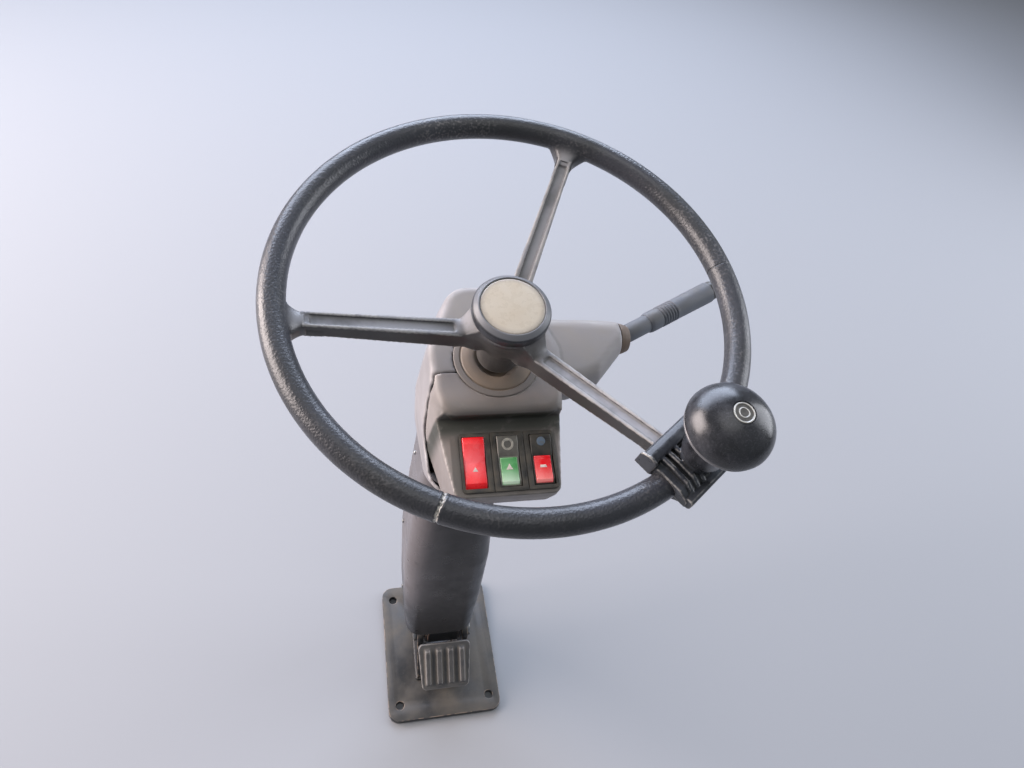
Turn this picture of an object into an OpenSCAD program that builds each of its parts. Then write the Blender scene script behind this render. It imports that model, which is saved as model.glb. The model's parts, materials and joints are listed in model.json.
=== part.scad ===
// Steering column of a wheeled excavator's cab, with its steering wheel and spinner knob.
// X is right, Y is forward, Z is up. The origin is the middle of the floor bolts, under the plate.
// What follows the steering shaft is drawn in the shaft frame: x right, y forward in the plane of
// the wheel, z up the shaft, with the wheel's middle as its origin.

/* [Steering wheel] */
// Outside diameter of the wheel
wheel_d = 360; // [340:5:400]
// Thickness of the rim
rim_d = 19.5; // [17:0.5:23]
// Height of the wheel's middle above the floor
wheel_z = 672; // [650:2:700]
// Place of the wheel's middle, forward of the floor bolts
wheel_y = -20; // [-30:1:-10]
// Place of the wheel's middle, right of the floor bolts
wheel_x = 12; // [0:1:14]
// Angle of the wheel's plane to the floor
rake = 15; // [12:0.5:18]
// Turn of the first spoke from the right-hand side
spoke_turn = 66; // [0:1:119]
// Height that the spokes fall from the rim to the hub
dish = 21; // [18:1:30]
// Width of a spoke at its middle
spoke_w = 14; // [12:0.5:18]
// Depth of a spoke
spoke_t = 17; // [14:0.5:19]
// Depth of the channel in a spoke's upper face
channel_depth = 2.2; // [1:0.2:4]
// Radius of the hub under its cap
hub_r = 29; // [27:0.5:30]
// Length of the hub below its cap
hub_len = 62; // [54:1:63]
// Radius of the hub's neck
hub_neck_r = 18; // [16:0.5:22]
// Radius of the hub cap
cap_r = 30.5; // [30:0.5:33]
// Thickness of the hub cap
cap_t = 12; // [11:1:18]
// Radius of the pale disc in the hub cap
disc_r = 25.5; // [20:0.5:26]
// Radius of the steering shaft
shaft_r = 9; // [7:0.5:10]

/* [Spinner knob] */
// Angle of the knob round the wheel
knob_turn = -54; // [-60:1:-50]
// Radius of the knob's dome
dome_r = 28; // [24:0.5:30]
// Height of the dome's top above the middle of the rim
dome_top = 81; // [79:1:90]
// Height of the dome's lip above the middle of the rim
lip_z = 57; // [52:1:60]
// Radius of the knob's neck
neck_r = 15; // [13:0.5:18]
// Radius of the knob's post
post_r = 5; // [4:0.5:6]
// Radius of the round inlay on the dome
inlay_r = 7.4; // [5:0.2:9]
// Angle of the clamp's middle round the wheel
clamp_turn = -54; // [-56:1:-53]
// Angle that the clamp spans round the rim
clamp_span = 19; // [17:0.5:22]
// Reach of the clamp from the middle of the rim towards the hub
clamp_in = 25.5; // [24:0.5:28]
// Reach of the clamp from the middle of the rim outward
clamp_out = 20; // [18.5:0.5:22]
// Width of a clamp rib
rib_w = 3; // [2:0.5:4]
// Distance from clamp rib to clamp rib
rib_pitch = 6.3; // [5.5:0.1:7]

/* [Head] */
// Wall of the moulded covers
wall = 3; // [2:0.25:4]
// Height of the deck below the middle of the wheel
deck_drop = 92; // [88:1:98]
// Half of the head's width at the deck
deck_half = 54; // [52:1:58]
// Half of the head's width lower down
belly_half = 62; // [60:1:66]
// Length of the deck in front of the shaft
deck_front = 51; // [49:1:54]
// Depth of the switch panel below the deck
shelf_drop = 15; // [12:1:20]
// Length of the switch panel
shelf_len = 64; // [62:1:68]
// Slope of the switch panel to the deck
shelf_slope = 5; // [0:1:10]
// Half of the width of the switch panel at its foot
panel_half = 43; // [42.5:0.5:46]
// Height of the front cover's skirt
lid_depth = 66; // [60:1:72]
// Radius of the opening in the deck
deck_hole_r = 36; // [34:0.5:37]
// Gap between covers that meet
shut_gap = 0.8; // [0.4:0.1:1.5]
// Distance from switch to switch
switch_pitch = 28; // [26.5:0.25:28.5]
// Place of the switches, right of the panel's middle
switch_x = 2.5; // [0:0.5:3]
// Width of a rocker
rocker_w = 17.5; // [16:0.5:19]
// Length of a rocker
rocker_len = 42; // [38:1:44]

/* [Stalk] */
// Length of the stalk's bare arm
stalk_arm_len = 36; // [25:1:50]
// Length of the stalk's grip
stalk_grip_len = 80; // [60:1:90]
// Radius of the stalk's grip
stalk_grip_r = 10; // [9:0.25:11]
// Turn of the stalk from straight right to forward
stalk_turn = 26; // [15:1:35]

/* [Column] */
// Height of the tilt pivot above the floor
pivot_z = 60; // [55:1:66]
// Width of the steel spine
spine_w = 40; // [34:1:44]
// Depth of the steel spine
spine_d = 32; // [26:1:36]
// Wall of the steel spine
spine_wall = 3; // [2:0.5:4]
// Half of the lower cover's width at its middle
cover_half = 47.5; // [46:0.5:50]
// Place of the lower cover, left of the spine's middle
cover_left = 8; // [0:1:9]
// Height of the lower cover's foot above the tilt pivot
cover_foot = 46; // [40:1:52]
// Radius of the steering unit inside the head
unit_r = 42; // [36:1:44]

/* [Base] */
// Width of the floor plate
plate_w = 150; // [140:2:170]
// Length of the floor plate
plate_len = 190; // [180:2:210]
// Thickness of the floor plate
plate_t = 8; // [6:0.5:12]
// Distance between the floor bolts across
bolt_x = 120; // [110:2:124]
// Distance between the floor bolts lengthwise
bolt_y = 150; // [140:2:164]
// Radius of a floor bolt hole
bolt_r = 5.5; // [4.5:0.25:7]
// Radius of the opening for the hoses
hose_hole_r = 20; // [16:0.5:22]
// Thickness of a pivot ear
ear_t = 8; // [6:0.5:10]
// Radius of the tilt pin
pin_r = 7; // [5:0.5:8]
// Radius of the gas spring's barrel
barrel_r = 11; // [9:0.5:13]
// Radius of the gas spring's rod
rod_r = 4.5; // [3.5:0.25:5.5]
// Radius of the gas spring's pins
strut_pin_r = 4; // [3:0.5:5]

/* [Hidden] */
$fn = 96;

// Clearance of a turning fit, and of pieces that are seated on each other
run_gap = 0.06;
seat_gap = 0.3;
eps = 0.01;

// Derived values of the wheel, in the shaft frame
rim_r = rim_d / 2;
rim_mid = wheel_d / 2 - rim_r;
hub_top = -dish - 4;
hub_foot = hub_top - hub_len;
spoke_in = hub_r + 8;
spoke_out = rim_mid - rim_r - 8;
spoke_top = hub_top - 11;
spoke_tilt = atan((-2 - spoke_top) / (spoke_out - spoke_in));
channel_len = (spoke_out - spoke_in) / cos(spoke_tilt) - 6;

web_flare = 11;
web_half = spoke_w / 2 + web_flare - 1;
pedestal_top = rim_r + 11;

// Derived values of the head: outlines are [forward, up] in the shaft frame
deck_z = -deck_drop;
seam_y = -12;
brow_y = -deck_front;
panel_top = [brow_y + 2, deck_z - shelf_drop];
panel_foot = panel_top - shelf_len * [cos(shelf_slope), sin(shelf_slope)];
lid_foot = deck_z - lid_depth;
collar_r = deck_hole_r - 0.5;
collar_foot = deck_z - 18;
unit_len = 104;
unit_foot = collar_foot - unit_len;
head_plate_t = 6;
spine_top = [wheel_y - (unit_foot - head_plate_t) * sin(rake),
             wheel_z + (unit_foot - head_plate_t) * cos(rake)];
switch_mid = panel_foot + 27 * [cos(shelf_slope), sin(shelf_slope)];

// Derived values of the stalk: its seat on the head and its own radii
stalk_seat = [119, 27, deck_z - 18];
socket_r = 15;
socket_len = 9;
stalk_arm_r = 8.5;

// Derived values of the column: the spine leans forward from the pivot to the head
spine_lean = atan2(spine_top[0], spine_top[1] - pivot_z);
spine_len = norm([spine_top[0], spine_top[1] - pivot_z]);
boss_half = spine_w / 2 + 4;
boss_r = pin_r + 7;
ear_in = boss_half + 2;
ear_out = ear_in + ear_t;
ear_r = 16;

// Derived values of the gas spring: its pins as [forward, up] above the floor
strut_foot_pin = [62, 36];
strut_head_pin = [62, 290];
strut_len = strut_head_pin[1] - strut_foot_pin[1];
eye_half = 6.5;
eye_r = 9;
eye_play = 1.3;
barrel_len = 150;
lug_t = 5;

module shaft_frame() translate([wheel_x, wheel_y, wheel_z]) rotate([rake, 0, 0]) children();
module spine_frame() translate([0, 0, pivot_z]) rotate([-spine_lean, 0, 0]) children();
module panel_frame()
    shaft_frame() translate([switch_x, switch_mid[0], switch_mid[1]]) rotate([shelf_slope, 0, 0]) children();

// Extrudes an outline of [y, z] points along X, from -half to half
module side_prism(points, half)
    rotate([90, 0, 90]) translate([0, 0, -half]) linear_extrude(2 * half) polygon(points);

// Points of an arc round a centre
function arc(c, r, from, to, n) =
    [for (i = [0:n]) let (t = from + (to - from) * i / n) c + r * [cos(t), sin(t)]];

// Corner p of an outline that comes from a and goes to b, rounded with radius r in n steps
function round_corner(a, p, b, r, n) =
    let (u = (a - p) / norm(a - p), v = (b - p) / norm(b - p),
         half = acos(u * v) / 2, m = (u + v) / norm(u + v),
         c = p + m * r / sin(half), s = p + u * r / tan(half), e = p + v * r / tan(half),
         t0 = atan2(s[1] - c[1], s[0] - c[0]), t1 = atan2(e[1] - c[1], e[0] - c[0]),
         d = t1 - t0, turn = d > 180 ? d - 360 : d < -180 ? d + 360 : d)
    arc(c, r, t0, t0 + turn, n);

// Outline through corners of [y, z, radius], each rounded in n steps
function rounded(corners, n = 6) =
    let (k = len(corners), p = [for (c = corners) [c[0], c[1]]])
    [for (i = [0:k - 1])
        each corners[i][2] == 0 ? [p[i]]
            : round_corner(p[(i + k - 1) % k], p[i], p[(i + 1) % k], corners[i][2], n)];

// Closed solid through rings with the same number of points, capped at both ends
module skin(rings) {
    n = len(rings[0]);
    k = len(rings);
    sides = [for (j = [0:k - 2], i = [0:n - 1])
        let (a = j * n + i, b = j * n + (i + 1) % n) each [[a, b + n, b], [a, a + n, b + n]]];
    polyhedron([for (r = rings) each r],
        concat([[for (i = [0:n - 1]) i]], [[for (i = [n - 1:-1:0]) (k - 1) * n + i]], sides));
}

// Plan of the head at chosen heights
head_foot = -228;
head_rows = [
    // columns: height, middle, half width in front, beside the shaft and behind, front and rear end, corner
    [head_foot, -2, belly_half - 10, belly_half - 4, 41, -64, 62, 22],
    [-200, -2, belly_half - 8, belly_half - 2.5, 41, -78, 72, 24],
    [lid_foot - 4, -2, belly_half - 6, belly_half - 1, 39, -96, 77, 26],
    [-120, -2, belly_half - 5, belly_half - 4, 36, -96, 77, 16],
    [deck_z - 5, 0, deck_half + 2, deck_half + 3, 33, -58, 75, 14],
    [deck_z - 1.5, 0, deck_half + 0.5, deck_half + 1.5, 31.5, -56, 73.5, 12.5],
    [deck_z, 0, deck_half - 3, deck_half - 2, 28, -52, 70, 10]];

// Outline of the head for one row, drawn in by d
function head_plan(s, d) = [for (p = rounded([
    [-s[2] + d, s[5] + d, s[7] - d], [s[2] - d, s[5] + d, s[7] - d], [s[3] - d, 12, 20],
    [s[4] - d, s[6] - d, s[7] - d + 8], [-s[4] + d, s[6] - d, s[7] - d + 8], [-s[3] + d, 12, 20]], 6))
    [p[0] + s[1], p[1]]];
function head_rings(d) = [for (s = head_rows)
    [for (p = head_plan(s, d)) [p[0], p[1], s[0] - (d == 0 ? 0 : s[0] == head_foot ? 5 : d)]]];
function head_row_at(z) =
    [z, for (c = [1:7]) lookup(z, [for (s = head_rows) [s[0], s[c]]])];

// Ring of the lobe that carries the stalk, in the plane at x
function lobe_ring(x, y0, y1, z0, z1, r) =
    [for (p = rounded([[y0, z0, r], [y1, z0, r], [y1, z1, r], [y0, z1, r]], 5)) [x, p[0], p[1]]];

function lobe_rings(d) = [
    // columns: place to the right, rear edge, front edge, foot, top, corner
    for (s = [[32, -26, 45, deck_z - 44, deck_z - 3, 11],
              [66, -26, 45, deck_z - 42, deck_z - 3, 12],
              [92, -17, 45, deck_z - 38, deck_z - 3, 14],
              [110, 2, 44, deck_z - 35, deck_z - 3, 15],
              [stalk_seat[0], 11.5, 42.5, deck_z - 33.5, deck_z - 2.5, 15]])
        lobe_ring(s[0] - d, s[1] + d, s[2] - d, s[3] + d, s[4] - d, s[5] - d)];

// What lies in front of the seam between the two covers, moved forward by d: the seam crosses the
// deck, falls down the flank and turns towards the driver along the foot of the front cover
module seam_region(d) side_prism(concat(
    [[seam_y - d, deck_z + 20], [seam_y - d, deck_z - 3]],
    rounded([[seam_y - 7 - d, deck_z - 5, 0], [-26 - d, deck_z - 24, 12], [-38 - d, lid_foot + 12, 10],
             [-54 - d, lid_foot + d, 8], [-140, lid_foot + d, 0]], 4),
    [[-140, deck_z + 20]]), 90);

// Front cover, drawn in by d for its inside: a skirt under the switch panel, and the deck behind it
lid_rows = [
    // columns: height, width left and right of the shaft at the seam, where the flanks turn in,
    // half width in front, front end
    [lid_foot - 1, 59, 55, -46, panel_half + 3, panel_foot[0] + 8],
    [deck_z - 32, 58, 53.5, -36, panel_half + 0.5, panel_foot[0] - 0.5],
    [deck_z - shelf_drop + 2, 56.5, 53.5, -30, panel_half, panel_foot[0] - 2],
    [deck_z - 3, deck_half - 0.3, deck_half - 0.3, -28, deck_half - 6, brow_y + 0.5]];
function lid_plan(s, d) = rounded([
    [-s[1] + d, seam_y + 31, 0], [-s[1] + d, s[3], 12], [-s[4] + d, s[5] + d, 7 - d],
    [s[4] - d, s[5] + d, 7 - d], [s[2] - d, s[3], 12], [s[2] - d, seam_y + 31, 0]], 5);
function lid_rings(d) = [for (s = lid_rows) [for (p = lid_plan(s, d)) [p[0], p[1], s[0]]]];

function deck_plan(in, d) = rounded([
    [-deck_half + in, seam_y + 31, 0], [-deck_half + in, -26, 8], [-deck_half + 5 + in, brow_y + in, 13 - d],
    [deck_half - 5 - in, brow_y + in, 13 - d], [deck_half - in, -26, 8],
    [deck_half - in, seam_y + 31, 0]], 5);
deck_rows = [
    // columns: height below the deck, inset
    [shelf_drop + 8, 3], [9, 1], [5, 0], [2.6, 0.7], [0.8, 2.6], [0, 5.5]];
function deck_rings(d) = [for (s = deck_rows)
    [for (p = deck_plan(s[1] + d, d)) [p[0], p[1], deck_z - s[0] - d]]];

// The skirt is cut off along the switch panel, and behind the brow it runs up to the deck
function panel_at(y, d) = panel_foot[1] - d / cos(shelf_slope) + (y - panel_foot[0]) * tan(shelf_slope);
module front_form(d) {
    intersection() {
        skin(lid_rings(d));
        side_prism([[seam_y + 30, lid_foot - 20], [-140, lid_foot - 20], [-140, panel_at(-140, d)],
                    [brow_y + 3 + d, panel_at(brow_y + 3 + d, d)], [brow_y + 3 + d, deck_z - 4 - d],
                    [seam_y + 30, deck_z - 4 - d]], 80);
    }
    skin(deck_rings(d));
}

module floor_plate() color("#202224") difference() {
    linear_extrude(plate_t) polygon(rounded([
        [-plate_w / 2, -plate_len / 2, 14], [plate_w / 2, -plate_len / 2, 14],
        [plate_w / 2, plate_len / 2, 14], [-plate_w / 2, plate_len / 2, 14]]));
    translate([0, 0, -1]) cylinder(h = plate_t + 2, r = hose_hole_r);
    for (x = [-1, 1], y = [-1, 1])
        translate([x * bolt_x / 2, y * bolt_y / 2, -1]) cylinder(h = plate_t + 2, r = bolt_r);
}

// Two upright ears for the tilt pin, each with a foot that broadens to the plate
module pivot_ears() color("#202224") for (x = [-ear_out, ear_in]) translate([x, 0, 0])
    difference() {
        union() {
            rotate([90, 0, 90]) linear_extrude(ear_t)
                polygon([[-42, plate_t], [42, plate_t], [42, plate_t + 8], [ear_r, pivot_z - 6],
                         [ear_r, pivot_z], [-ear_r, pivot_z], [-ear_r, pivot_z - 6], [-42, plate_t + 8]]);
            translate([0, 0, pivot_z]) rotate([0, 90, 0]) cylinder(h = ear_t, r = ear_r);
        }
        translate([-1, 0, pivot_z]) rotate([0, 90, 0]) cylinder(h = ear_t + 2, r = pin_r + run_gap);
    }

module pivot_pin() color("#8d9194") translate([0, 0, pivot_z]) rotate([0, 90, 0]) {
    cylinder(h = 2 * ear_out + 2, r = pin_r, center = true);
    for (s = [-1, 1]) translate([0, 0, s * (ear_out + 2 + seat_gap)])
        cylinder(h = 4, r = pin_r + 3, center = true);
}

// Lugs on the floor plate with the gas spring's lower pin
module strut_foot() color("#202224") {
    for (x = [-eye_half - 1 - lug_t, eye_half + 1]) translate([x, 0, 0]) difference() {
        union() {
            translate([0, strut_foot_pin[0] - 12, plate_t])
                cube([lug_t, 24, strut_foot_pin[1] - plate_t]);
            translate([0, strut_foot_pin[0], strut_foot_pin[1]]) rotate([0, 90, 0])
                cylinder(h = lug_t, r = 12);
        }
        translate([-1, strut_foot_pin[0], strut_foot_pin[1]]) rotate([0, 90, 0])
            cylinder(h = lug_t + 2, r = strut_pin_r - 1);
    }
    translate([0, strut_foot_pin[0], strut_foot_pin[1]]) rotate([0, 90, 0])
        cylinder(h = 2 * (eye_half + lug_t + 4), r = strut_pin_r, center = true);
}

// Foot pedal that frees the tilt: a steel lever in front of the pivot, with a ribbed pad
pad_mid = [-45, 55];
pad_len = 60;
pad_w = 70;
pad_t = 5;
pad_slope = 42;
lever_half = 14;
module release_lever() color("#34373a") {
    translate([0, pad_mid[0], pad_mid[1]]) rotate([pad_slope, 0, 0])
        translate([-pad_w / 2 + 4, -pad_len / 2 + 3, -4]) cube([pad_w - 8, pad_len - 6, 4]);
    difference() {
        side_prism([[-30, plate_t], [-50, plate_t], [-58, pad_mid[1] - 12],
                    [-38, pad_mid[1] + 5]], lever_half);
        side_prism([[0, plate_t + 5], [-46, plate_t + 5], [-90, 30], [0, 60]], lever_half - 4);
    }
}
module release_pad() color("#55575a")
    translate([0, pad_mid[0], pad_mid[1]]) rotate([pad_slope, 0, 0]) {
        linear_extrude(pad_t) polygon(rounded([
            [-pad_w / 2 + 4, -pad_len / 2, 6], [pad_w / 2 - 4, -pad_len / 2, 6],
            [pad_w / 2, pad_len / 2, 6], [-pad_w / 2, pad_len / 2, 6]], 5));
        for (i = [-1.5:1:1.5]) translate([i * 15 - 3.5, -pad_len / 2 + 5, pad_t])
            rotate([90, 0, 90]) linear_extrude(7)
                polygon([[0, 0], [pad_len - 10, 0], [pad_len - 14, 3.5], [4, 3.5]]);
    }

// Steel spine: a box tube on a pivot boss, with two bars that hold the lower cover
cover_bar = [70, 320];
bar_half = 8;
cover_rows = [
    // columns: height, half width, middle, front face, corner
    [cover_foot, cover_half - 4.5, -cover_left, -30, 20],
    [120, cover_half - 1, -cover_left, -38, 22],
    [220, cover_half, -cover_left, -48, 24],
    [300, cover_half - 5, 1 - cover_left, -53, 26],
    [410, cover_half - 14, 3.5 - cover_left, -52, 22]];
function cover_at(s, c) = lookup(s, [for (q = cover_rows) [q[0], q[c]]]);
function cover_half_near(s) = min(cover_at(s - bar_half, 1), cover_at(s + bar_half, 1));
module spine() color("#1d1f21") difference() {
    union() {
        spine_frame() {
            translate([0, 0, spine_len / 2]) cube([spine_w, spine_d, spine_len + 60], center = true);
            for (s = cover_bar) translate([cover_at(s, 2), 0, s])
                cube([2 * (cover_half_near(s) - wall - 2 * seat_gap), 8, 2 * bar_half], center = true);
        }
        translate([0, 0, pivot_z]) rotate([0, 90, 0])
            cylinder(h = 2 * boss_half, r = boss_r, center = true);
    }
    spine_frame() translate([0, 0, spine_len / 2 + boss_r + 6])
        cube([spine_w - 2 * spine_wall, spine_d - 2 * spine_wall, spine_len + 60], center = true);
    translate([0, 0, pivot_z]) rotate([0, 90, 0])
        cylinder(h = 2 * boss_half + 2, r = pin_r + run_gap, center = true);
    spine_frame() translate([0, 0, -50]) cube([spine_w + 20, spine_d + 20, 100], center = true);
    shaft_frame() translate([0, 0, unit_foot - head_plate_t + 50]) cube([200, 300, 100], center = true);
}

// Plate across the spine's top that carries the steering unit and the covers
module head_plate() color("#1d1f21") shaft_frame()
    translate([0, 0, unit_foot - head_plate_t]) linear_extrude(head_plate_t) intersection() {
        polygon(head_plan(head_row_at(unit_foot - head_plate_t), wall + 2 * seat_gap));
        translate([-100, -52]) square([200, 200]);
    }

// Hydrostatic steering unit: a plain block at its real place and size
module steering_unit() color("#3a3d40") shaft_frame()
    translate([0, 0, unit_foot]) cylinder(h = unit_len, r = unit_r);

// Dished ring round the shaft, with the shaft's bush in its middle
module collar() color("#6d6259") shaft_frame() rotate_extrude() polygon([
    [shaft_r + run_gap, collar_foot], [shaft_r + run_gap, deck_z - 8], [shaft_r + 5, deck_z - 8],
    [shaft_r + 9, deck_z - 9], [collar_r - 13, deck_z - 8], [collar_r - 6, deck_z + 2.5],
    [collar_r - 4.5, deck_z + 4], [collar_r - 3, deck_z + 4], [collar_r - 0.8, deck_z + 1.5],
    [collar_r, deck_z - 0.5], [collar_r, deck_z - 5], [collar_r - 5, collar_foot]]);

module rear_shell() color("#6f7072") shaft_frame() difference() {
    union() {
        skin(head_rings(0));
        skin(lobe_rings(0));
    }
    skin(head_rings(wall));
    skin(lobe_rings(wall));
    seam_region(0);
    translate([0, 0, deck_z - 20]) cylinder(h = 40, r = deck_hole_r);
}

module front_cover() color("#77787a") difference() {
    shaft_frame() difference() {
        intersection() {
            front_form(0);
            seam_region(shut_gap);
        }
        front_form(wall);
        translate([0, 0, deck_z - 20]) cylinder(h = 40, r = deck_hole_r);
    }
    for (i = [-1:1]) panel_frame() translate([i * switch_pitch, 0, 0])
        cube([case_w + 2 * seat_gap, case_len + 2 * seat_gap, 24], center = true);
}

// U-shaped cover of the spine, open towards the front of the cab, in the spine frame
cover_rear = 30;
function cover_ring(s, half, mid, front, r) =
    let (t = wall, o = rounded([[-half, cover_rear, 0], [-half, front, r], [half, front, r],
                                [half, cover_rear, 0]], 8),
         i = rounded([[half - t, cover_rear, 0], [half - t, front + t, r - t],
                      [-half + t, front + t, r - t], [-half + t, cover_rear, 0]], 8))
    [for (p = concat(o, i)) [p[0] + mid, p[1], s]];
module lower_cover() color("#4a4c4f") difference() {
    spine_frame() intersection() {
        skin([for (q = cover_rows) cover_ring(q[0], q[1], q[2], q[3], q[4])]);
        translate([-cover_left, 0, 0]) rotate([90, 0, 0]) translate([0, 0, -100]) linear_extrude(200)
            polygon(rounded([
                [-cover_rows[0][1], cover_foot - 1, 16], [cover_rows[0][1], cover_foot - 1, 16],
                [cover_half + 20, 100, 0], [cover_half + 20, 450, 0],
                [-cover_half - 20, 450, 0], [-cover_half - 20, 100, 0]], 8));
    }
    // its top ends under the head's plate
    shaft_frame() translate([0, 0, unit_foot - head_plate_t - seat_gap + 50])
        cube([200, 300, 100], center = true);
}

// Rocker switches, in the panel frame: a black case with a frame, and a rocker in it
case_w = 20.8;
case_len = 45.5;
frame_t = 1.6;
frame_in = switch_pitch / 2 - 0.3;
frame_out = case_w / 2 + 0.9;
module switch_case(i) color("#17181a") panel_frame() translate([i * switch_pitch, 0, 0])
    difference() {
        union() {
            linear_extrude(frame_t) polygon(rounded([
                for (c = [[-1, -1], [1, -1], [1, 1], [-1, 1]])
                    [c[0] * (i == c[0] ? frame_out : frame_in), c[1] * (case_len / 2 + 2),
                     i == c[0] ? 2.5 : 0.5]], 3));
            translate([0, 0, -9]) cube([case_w, case_len, 18.5], center = true);
        }
        translate([0, 0, 1]) cube([rocker_w + 1, rocker_len + 1, 16], center = true);
    }

// Side of a rocker, as [along the panel, out of it], with a shallow V on top
module rocker_form(half) side_prism(rounded([
    [-rocker_len / 2, -3, 0], [rocker_len / 2, -3, 0], [rocker_len / 2, 6.2, 1.2],
    [rocker_len / 2 - 6, 6.4, 2], [0, 3.2, 8], [-rocker_len / 2 + 4, 3.9, 1.5],
    [-rocker_len / 2, 1.6, 1]], 4), half);
module rocker_place(i) panel_frame() translate([i * switch_pitch, 0, -2.7]) children();
lens_from = -rocker_len / 2 + 1.5;
lens_to = 3;
module lens_cut(grow) translate([-rocker_w / 2 + 1.6 - grow, lens_from - grow, 1 - grow])
    cube([rocker_w - 3.2 + 2 * grow, lens_to - lens_from + 2 * grow, 12]);
module rocker(i) rocker_place(i) difference() {
    rocker_form(rocker_w / 2);
    if (i >= 0) lens_cut(0);
}
module lens(i) rocker_place(i) intersection() {
    translate([0, 0, 0.3]) rocker_form(rocker_w / 2 - 1.6 - 0.05);
    lens_cut(-0.05);
}

// Stalk on the right of the head
module stalk_frame() shaft_frame() translate(stalk_seat) rotate([0, 90, 0])
    rotate([-stalk_turn, 0, 0]) children();
module stalk_socket() color("#57504b") shaft_frame() translate(stalk_seat) rotate([0, 90, 0])
    rotate_extrude() polygon([[0, 0], [socket_r - 0.5, 0], [socket_r - 1.5, 4],
                              [stalk_arm_r + 3, socket_len], [0, socket_len]]);
module stalk_arm() color("#6b6f76") difference() {
    stalk_frame() cylinder(h = stalk_arm_len, r = stalk_arm_r);
    shaft_frame() translate(stalk_seat) rotate([0, 90, 0]) translate([0, 0, socket_len - 30])
        cylinder(h = 30, r = 40);
}
module stalk_grip() color("#5d6168") stalk_frame() translate([0, 0, stalk_arm_len])
    rotate_extrude() polygon(concat(
        [[0, 0], [stalk_arm_r + 0.5, 0], [stalk_grip_r, 3], [stalk_grip_r, 14]],
        [for (i = [0:5]) each [[stalk_grip_r - 0.9, 15 + i * 3.2], [stalk_grip_r - 0.9, 16.4 + i * 3.2],
                               [stalk_grip_r + 0.2, 16.6 + i * 3.2], [stalk_grip_r + 0.2, 17.8 + i * 3.2]]],
        [[stalk_grip_r, 36], [stalk_grip_r + 0.5, stalk_grip_len], [0, stalk_grip_len]]));
module stalk_tip() color("#1b1c1e") stalk_frame() translate([0, 0, stalk_arm_len + stalk_grip_len])
    rotate_extrude() polygon([[0, 0], [stalk_grip_r - 0.5, 0], [stalk_grip_r - 0.5, 6],
                              [stalk_grip_r - 2, 9], [stalk_grip_r - 5, 10], [0, 10.4]]);

// Bracket on the spine with the gas spring's upper pin
module strut_bracket() color("#1d1f21") {
    for (x = [-eye_half - 2 - lug_t, eye_half + 2]) translate([x, 0, 0]) difference() {
        union() {
            spine_frame() translate([0, spine_d / 2, strut_head_pin[1] - pivot_z - 8])
                cube([lug_t, 22, 26]);
            translate([0, strut_head_pin[0], strut_head_pin[1]]) rotate([0, 90, 0])
                cylinder(h = lug_t, r = 11);
        }
        translate([-1, strut_head_pin[0], strut_head_pin[1]]) rotate([0, 90, 0])
            cylinder(h = lug_t + 2, r = strut_pin_r - 1);
    }
    translate([0, strut_head_pin[0], strut_head_pin[1]]) rotate([0, 90, 0])
        cylinder(h = 2 * (eye_half + lug_t + 4), r = strut_pin_r, center = true);
}

module rim() color("#2b2c2e") shaft_frame() rotate_extrude() translate([rim_mid, 0]) circle(r = rim_r);

// One spoke: its side view and its plan, which flares into the hub and the rim, less a channel
module spoke() difference() {
    intersection() {
        rotate([90, 0, 0]) translate([0, 0, -web_half - 1]) linear_extrude(2 * web_half + 2) polygon([
            [10, hub_top - 1], [hub_r - 2, hub_top - 1], [spoke_in, spoke_top], [spoke_out, -2],
            [rim_mid - 3, -1], [rim_mid - 3, -rim_r - 2.5], [spoke_out + 2, -rim_r - 2.5],
            [spoke_out - 10, -spoke_t - 1], [spoke_in + 4, spoke_top + 1 - spoke_t],
            [hub_r - 8, spoke_top - 2 - spoke_t], [10, spoke_top - 2 - spoke_t]]);
        translate([0, 0, -80]) linear_extrude(90) polygon(concat(
            [[10, -spoke_w / 2 - 5], [hub_r - 2, -spoke_w / 2 - 5], [hub_r + 6, -spoke_w / 2 - 1]],
            arc([rim_mid - rim_r - web_flare + 1, -web_half], web_flare, 90, 0, 8),
            [[rim_mid, -web_half], [rim_mid, web_half]],
            arc([rim_mid - rim_r - web_flare + 1, web_half], web_flare, 0, -90, 8),
            [[hub_r + 6, spoke_w / 2 + 1], [hub_r - 2, spoke_w / 2 + 5], [10, spoke_w / 2 + 5]]));
    }
    translate([spoke_in, 0, spoke_top]) rotate([0, -spoke_tilt, 0])
        translate([4, 0, -channel_depth]) linear_extrude(30) polygon(rounded([
            [0, -spoke_w / 2 + 3, 3], [channel_len, -spoke_w / 2 + 3, 3],
            [channel_len, spoke_w / 2 - 3, 3], [0, spoke_w / 2 - 3, 3]]));
}
module spider() color("#3a3b3d") shaft_frame() difference() {
    union() {
        rotate_extrude() polygon([
            [0, hub_top], [hub_r - 1, hub_top], [hub_r, hub_top - 2], [hub_r, hub_top - 5],
            [hub_r - 3, hub_top - 14], [hub_neck_r + 4, spoke_top - spoke_t],
            [hub_neck_r + 1, spoke_top - spoke_t - 10], [hub_neck_r, hub_foot + 2],
            [hub_neck_r - 1.5, hub_foot], [0, hub_foot]]);
        for (k = [0:2]) rotate([0, 0, spoke_turn + 120 * k]) spoke();
    }
    rotate_extrude() translate([rim_mid, 0]) circle(r = rim_r + 0.02);
    translate([0, 0, hub_top]) cylinder(h = 30, r = cap_r + 0.5);
    translate([0, 0, hub_foot - 1]) cylinder(h = hub_len + 2, r = shaft_r);
}

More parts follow.
